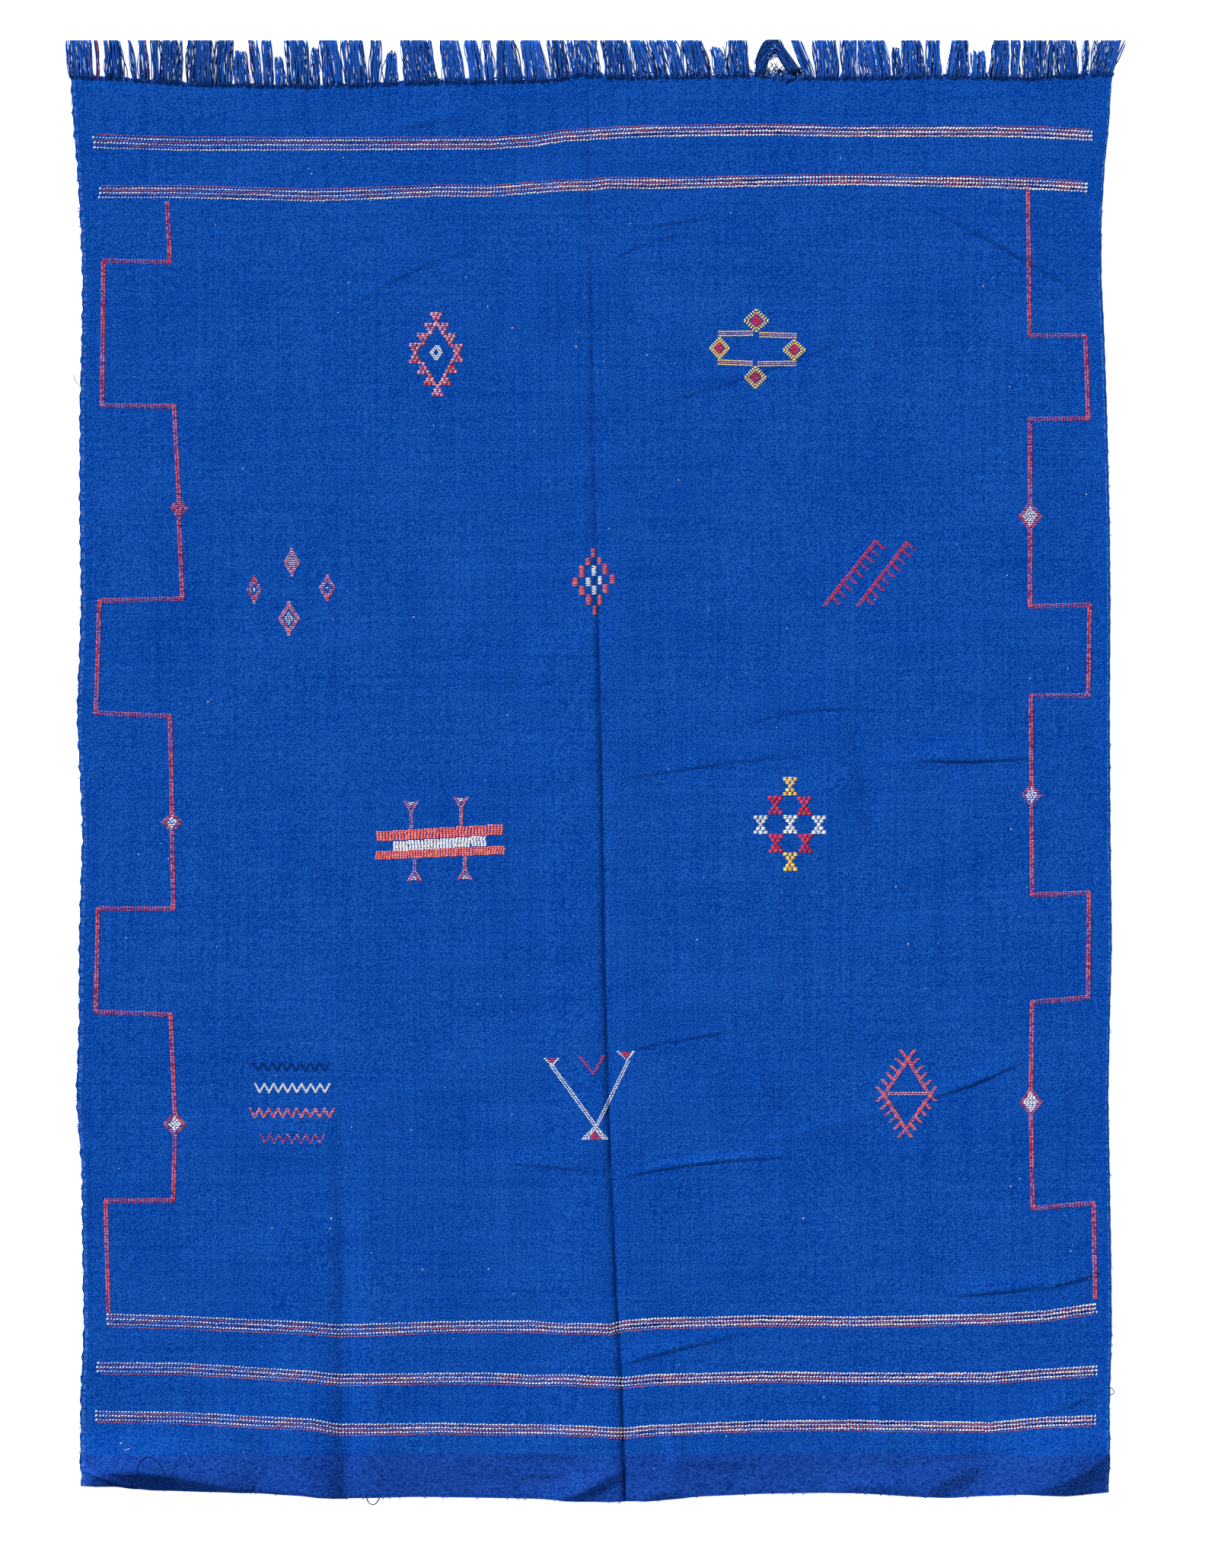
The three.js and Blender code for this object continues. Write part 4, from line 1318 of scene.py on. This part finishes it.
class RUG_PG_stage(bpy.types.PropertyGroup):
    camera_place: FloatVectorProperty(
        name="Camera place",
        description="Spot on the floor straight under the camera",
        default=(0.01925, -0.0187), size=2, unit="LENGTH",
    )
    camera_height: FloatProperty(
        name="Camera height",
        description="Height of the camera over the floor",
        default=5.35, min=1.0, unit="LENGTH",
    )
    key_elevation: FloatProperty(
        name="Key elevation",
        description="Height of the key light above the horizon",
        default=math.radians(26), min=0.1, max=1.5, subtype="ANGLE",
    )
    key_heading: FloatProperty(
        name="Key heading",
        description="Direction that the key light comes from, turned anticlockwise from +X",
        default=math.radians(140), subtype="ANGLE",
    )
    key_width: FloatProperty(
        name="Key width",
        description="How wide the key light looks from the rug",
        default=math.radians(12), min=0.0, subtype="ANGLE",
    )
    key_strength: FloatProperty(
        name="Key strength",
        description="Irradiance of the key light in watts per square metre",
        default=6.3, min=0.0, subtype="NONE",
    )
    fill: FloatProperty(
        name="Fill",
        description="Brightness of the pale surroundings",
        default=0.25, min=0.0, subtype="NONE",
    )


def grid_spots(bm):
    """Where the points of a grid one unit wide and long fall on the cloth, in millimetres."""
    shares = np.array([vert.co[:] for vert in bm.verts]) + 0.5
    return outline_spots(shares[:, 0], shares[:, 1])


def refined_grid(cell):
    """A grid one unit wide and long with cells of that size on the cloth, finer near creases."""
    width = SIDE_EDGES["right"][0] - SIDE_EDGES["left"][0]
    bm = bmesh.new()
    bmesh.ops.create_grid(
        bm, x_segments=round(width * MM / cell),
        y_segments=round((MEAN_HEAD - MEAN_FOOT) * MM / cell), size=0.5,
    )
    for reach in REFINED:
        near = crease_distance(*grid_spots(bm)) < reach
        bm.verts.index_update()
        busy = [e for e in bm.edges if near[e.verts[0].index] or near[e.verts[1].index]]
        bmesh.ops.subdivide_edges(bm, edges=busy, cuts=1, use_grid_fill=True)
    return bm


def thickened(sheet, thickness, extra):
    """A sheet's mesh made solid upwards. extra is each point's added thickness in millimetres."""
    most = SELVEDGE_EXTRA + HEM_EXTRA
    group = sheet.vertex_groups.new(name="extra")
    for index in np.flatnonzero(extra):
        group.add([int(index)], float(min(1, extra[index] / most)), "REPLACE")
    solidify = sheet.modifiers.new("thickness", "SOLIDIFY")
    solidify.thickness = thickness + most * MM
    solidify.offset = 1
    solidify.vertex_group = "extra"
    solidify.thickness_vertex_group = thickness / (thickness + most * MM)
    depsgraph = bpy.context.evaluated_depsgraph_get()
    return bpy.data.meshes.new_from_object(sheet.evaluated_get(depsgraph))


class RUG_OT_cloth(bpy.types.Operator):
    """Weave the cloth as a thin sheet with its folds, hem and selvedges"""
    bl_idname = "rug.cloth"
    bl_label = "Cloth"

    def execute(self, context):
        settings = context.scene.rug_cloth
        bm = refined_grid(settings.cell)
        x, y = grid_spots(bm)
        from_side, from_foot = inside_edges(x, y)
        x = x + scallop(x, y, from_side)
        z = underside(x, y, settings.unevenness / MM)
        for vert, spot in zip(bm.verts, np.stack([x, y, z], 1) * MM):
            vert.co = spot
        mesh = bpy.data.meshes.new("woven_cloth")
        bm.to_mesh(mesh)
        bm.free()
        set_attribute(mesh, "from_side", from_side * MM)
        set_attribute(mesh, "from_foot", from_foot * MM)
        # Painted shade for the fold lines, wrinkles and foot curl, which darkens the cloth's colour
        set_attribute(mesh, "painted_fold_shade", painted_fold_shade(x, y))
        sheet = bpy.data.objects.new("sheet", mesh)
        context.scene.collection.objects.link(sheet)
        extra = (np.where(from_side < SELVEDGE_WIDTH, SELVEDGE_EXTRA, 0)
                 + np.where(from_foot < HEM_WIDTH, HEM_EXTRA, 0))
        finished = thickened(sheet, settings.thickness, extra)
        finished.name = "woven_cloth"
        bpy.data.objects.remove(sheet)
        cloth = object_from("woven_cloth", finished, blue_cotton_weave())
        finished.set_sharp_from_angle(angle=math.radians(60))
        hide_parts("cloth")
        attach(cloth, BODY)
        return {"FINISHED"}


def lay(name, spots, material, tree, height):
    """Beds stitches of one yarn on the cloth and lets them ride with it."""
    piece = stitched(name, spots, material, tree, height)
    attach(piece, BODY)
    return piece


class RUG_OT_stripes(bpy.types.Operator):
    """Lay in the five stripes of white dashes with thin red lines between them"""
    bl_idname = "rug.stripes"
    bl_label = "Stripes"

    def execute(self, context):
        settings = context.scene.rug_yarn
        rng = np.random.default_rng(settings.seed)
        white = []
        red = []
        for row in STRIPES:
            stripe_white, stripe_red = stripe_spots(*row, rng)
            white += stripe_white
            red += stripe_red
        tree = cloth_tree()
        ivory = dyed_yarn("undyed white cotton yarn", "#80809C", "#FFFBEC")
        # The red lines' dark purple end is partly painted shade between the white rows
        rose = dyed_yarn("red cotton yarn with painted shade", "#241C56", "#D8685E")
        lay("stripe_dashes_white", white, ivory, tree, settings.height)
        lay("stripe_lines_red", red, rose, tree, settings.height * 0.7)
        return {"FINISHED"}


class RUG_OT_side_lines(bpy.types.Operator):
    """Lay in the stepped line down each side with its six lozenges"""
    bl_idname = "rug.side_lines"
    bl_label = "Side lines"

    def execute(self, context):
        settings = context.scene.rug_yarn
        rng = np.random.default_rng(settings.seed + 1)
        lines = []
        for corners in (LEFT_STEPS, RIGHT_STEPS):
            for start, end in zip(corners, corners[1:]):
                if abs(start[1] - end[1]) < PLAIN_RUN:
                    lines += ladder(start, end, rng)
                    continue
                # A long run is broken by a lozenge at its middle
                x, y, _, half_height, _ = next(
                    row for row in SIDE_LOZENGES
                    if abs(row[0] - start[0]) < 40 and end[1] < row[1] < start[1]
                )
                lines += ladder(start, (x, y + half_height), rng)
                lines += ladder((x, y - half_height), end, rng)
        hearts = []
        for x, y, half_width, half_height, heart in SIDE_LOZENGES:
            outline, inner = dotted_lozenge(x, y, half_width, half_height, rng, 0.5, heart or (1, 1),
                                            layers=2 if heart else 4, pitch=2.8)
            lines += outline
            if heart:
                hearts += filled(inner, 4.5, 2.3, rng, 0.85, 0.3)
        tree = cloth_tree()
        rose = dyed_yarn("rose red cotton yarn", "#92122E", "#F67E88")
        ivory = dyed_yarn("white cotton yarn", "#B0B8C8", "#FEFEFA")
        lay("side_lines_rose", lines, rose, tree, settings.height)
        lay("side_lozenge_hearts", hearts, ivory, tree, settings.height)
        return {"FINISHED"}


class RUG_OT_figures(bpy.types.Operator):
    """Lay in the small figures scattered over the field"""
    bl_idname = "rug.figures"
    bl_label = "Figures"

    def execute(self, context):
        settings = context.scene.rug_yarn
        rng = np.random.default_rng(settings.seed + 2)
        tree = cloth_tree()
        yarn_colours = {
            "white": ("bleached white cotton yarn", "#A2AFBE", "#FFFFFC"),
            "crimson": ("crimson cotton yarn", "#9E1228", "#E8485A"),
            "coral": ("coral red cotton yarn", "#C42C34", "#FC8C7C"),
            "pink": ("pink cotton yarn", "#B0283C", "#F8B0B4"),
            "golden": ("golden cotton yarn", "#D08C10", "#FFE478"),
            "navy": ("navy cotton yarn", "#081A4A", "#103078"),
        }
        for yarn, spots in figure_spots(rng).items():
            lay(f"figures_{yarn}", spots, dyed_yarn(*yarn_colours[yarn]), tree, settings.height)
        return {"FINISHED"}


class RUG_OT_fringe(bpy.types.Operator):
    """Twine the band along the head and let the loose warp ends hang from it"""
    bl_idname = "rug.fringe"
    bl_label = "Fringe"

    def execute(self, context):
        settings = context.scene.rug_fringe
        rng = np.random.default_rng(SEED + 3)
        blue = dyed_yarn("blue cotton warp ends", "#041848", "#2A62C4")
        paths, shades = thread_paths(rng, settings.spacing / MM)
        radii = settings.radius * rng.uniform(0.8, 1.25, (len(paths), 1)) * np.ones((1, paths.shape[1]))
        threads = swept("fringe_threads", paths, radii, blue, shades)
        curls, curl_shades = curl_paths(rng)
        curl_radii = np.full(curls.shape[:2], settings.radius * 0.75)
        rings = swept("fringe_curl", curls, curl_radii, blue, curl_shades)
        twine = dyed_yarn("twined blue cotton", "#082A78", "#3470D8")
        pads = free_pads("fringe_band", band_pads(rng, cloth_tree()), twine)
        core_path = core_line()
        core = swept("fringe_band_core", core_path, np.full(core_path.shape[:2], 0.0026), twine,
                     np.array([0.35]), sides=8, squash=0.42)
        reds = red_end_paths(rng)
        strays = swept("fringe_red_ends", reds, np.full(reds.shape[:2], 0.0004),
                       dyed_yarn("red cotton warp ends", "#7A2A54", "#C8687C"),
                       rng.uniform(0, 1, len(reds)))
        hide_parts("fringe")
        for piece in (threads, rings, pads, core, strays):
            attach(piece, BODY)
        return {"FINISHED"}


class RUG_OT_loose_ends(bpy.types.Operator):
    """Add the few loose threads, loops and lint that lie on the cloth"""
    bl_idname = "rug.loose_ends"
    bl_label = "Loose ends"

    def execute(self, context):
        rng = np.random.default_rng(SEED + 4)
        tree = cloth_tree()
        paths = [loose_path(corners, tree) for corners, _, _ in LOOSE_THREADS]
        radii = [[radius * MM] * len(paths[0]) for _, radius, _ in LOOSE_THREADS]
        shades = np.array([shade for _, _, shade in LOOSE_THREADS])
        blue = dyed_yarn("loose blue cotton thread", "#06143A", "#1C3F86")
        loops = swept("loose_threads", np.array(paths), np.array(radii), blue, shades, sides=5)
        pale = dyed_yarn("pale cotton lint", "#3F7AD8", "#E8F0FA")
        lay("lint_flecks", lint_spots(rng), pale, tree, 0.0004)
        husks = [(x, y, rng.uniform(3, 5), 1.8, angle, rng.uniform(0.2, 1)) for x, y, angle in HUSKS]
        lay("seed_husks", husks, dyed_yarn("cotton seed husk", "#B98A4A", "#F5E6BC"), tree, 0.0006)
        bits = fray_paths(rng, tree)
        frays = swept("edge_frays", bits, np.full(bits.shape[:2], 0.00045),
                      dyed_yarn("frayed blue cotton", "#0C2E74", "#3A78CE"),
                      rng.uniform(0, 1, len(bits)))
        for piece in (loops, frays):
            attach(piece, BODY)
        return {"FINISHED"}


class RUG_OT_stage(bpy.types.Operator):
    """Set up the pale floor, the soft light and the camera straight above"""
    bl_idname = "rug.stage"
    bl_label = "Stage"

    def execute(self, context):
        scene = context.scene
        settings = scene.rug_stage
        bm = bmesh.new()
        bmesh.ops.create_grid(bm, x_segments=1, y_segments=1, size=60)
        bmesh.ops.translate(bm, verts=bm.verts[:], vec=(0, 0, -0.2 * MM))
        mesh = bpy.data.meshes.new("studio_floor")
        bm.to_mesh(mesh)
        bm.free()
        floor = object_from("studio_floor", mesh, pale_floor())

        light = bpy.data.lights.new("key", "SUN")
        light.energy = settings.key_strength
        light.angle = settings.key_width
        key = bpy.data.objects.new("key", light)
        key.rotation_euler = (0, math.pi / 2 - settings.key_elevation, settings.key_heading)
        scene.collection.objects.link(key)

        world = bpy.data.worlds.new("pale surroundings")
        world.use_nodes = True
        background = world.node_tree.nodes["Background"]
        background.inputs["Color"].default_value = (1, 1, 1, 1)
        background.inputs["Strength"].default_value = settings.fill
        scene.world = world

        camera = bpy.data.objects.new("camera", bpy.data.cameras.new("camera"))
        camera.data.lens = 85
        camera.data.sensor_width = 36
        camera.location = (*settings.camera_place, settings.camera_height)
        scene.collection.objects.link(camera)
        scene.camera = camera
        scene.view_settings.view_transform = "Standard"
        return {"FINISHED"}


class RUG_PT_panel(bpy.types.Panel):
    bl_label = "Flatwoven rug"
    bl_idname = "RUG_PT_panel"
    bl_space_type = "VIEW_3D"
    bl_region_type = "UI"
    bl_category = "Rug"

    def draw(self, context):
        for operator in OPERATORS:
            self.layout.operator(operator.bl_idname)
        for group in ("rug_cloth", "rug_yarn", "rug_fringe", "rug_stage"):
            settings = getattr(context.scene, group)
            box = self.layout.box()
            for name in settings.bl_rna.properties.keys():
                if name not in ("rna_type", "name"):
                    box.prop(settings, name)


OPERATORS = (RUG_OT_cloth, RUG_OT_stripes, RUG_OT_side_lines, RUG_OT_figures, RUG_OT_fringe,
             RUG_OT_loose_ends, RUG_OT_stage)
GROUPS = {"rug_cloth": RUG_PG_cloth, "rug_yarn": RUG_PG_yarn, "rug_fringe": RUG_PG_fringe,
          "rug_stage": RUG_PG_stage}


def register():
    for cls in (*GROUPS.values(), *OPERATORS, RUG_PT_panel):
        bpy.utils.register_class(cls)
    for name, cls in GROUPS.items():
        setattr(bpy.types.Scene, name, PointerProperty(type=cls))


def unregister():
    for name in GROUPS:
        delattr(bpy.types.Scene, name)
    for cls in (RUG_PT_panel, *reversed(OPERATORS), *GROUPS.values()):
        bpy.utils.unregister_class(cls)


def main():
    register()
    bpy.ops.rug.cloth()
    bpy.ops.rug.stripes()
    bpy.ops.rug.side_lines()
    bpy.ops.rug.figures()
    bpy.ops.rug.fringe()
    bpy.ops.rug.loose_ends()
    bpy.ops.rug.stage()


if __name__ == "__main__":
    main()
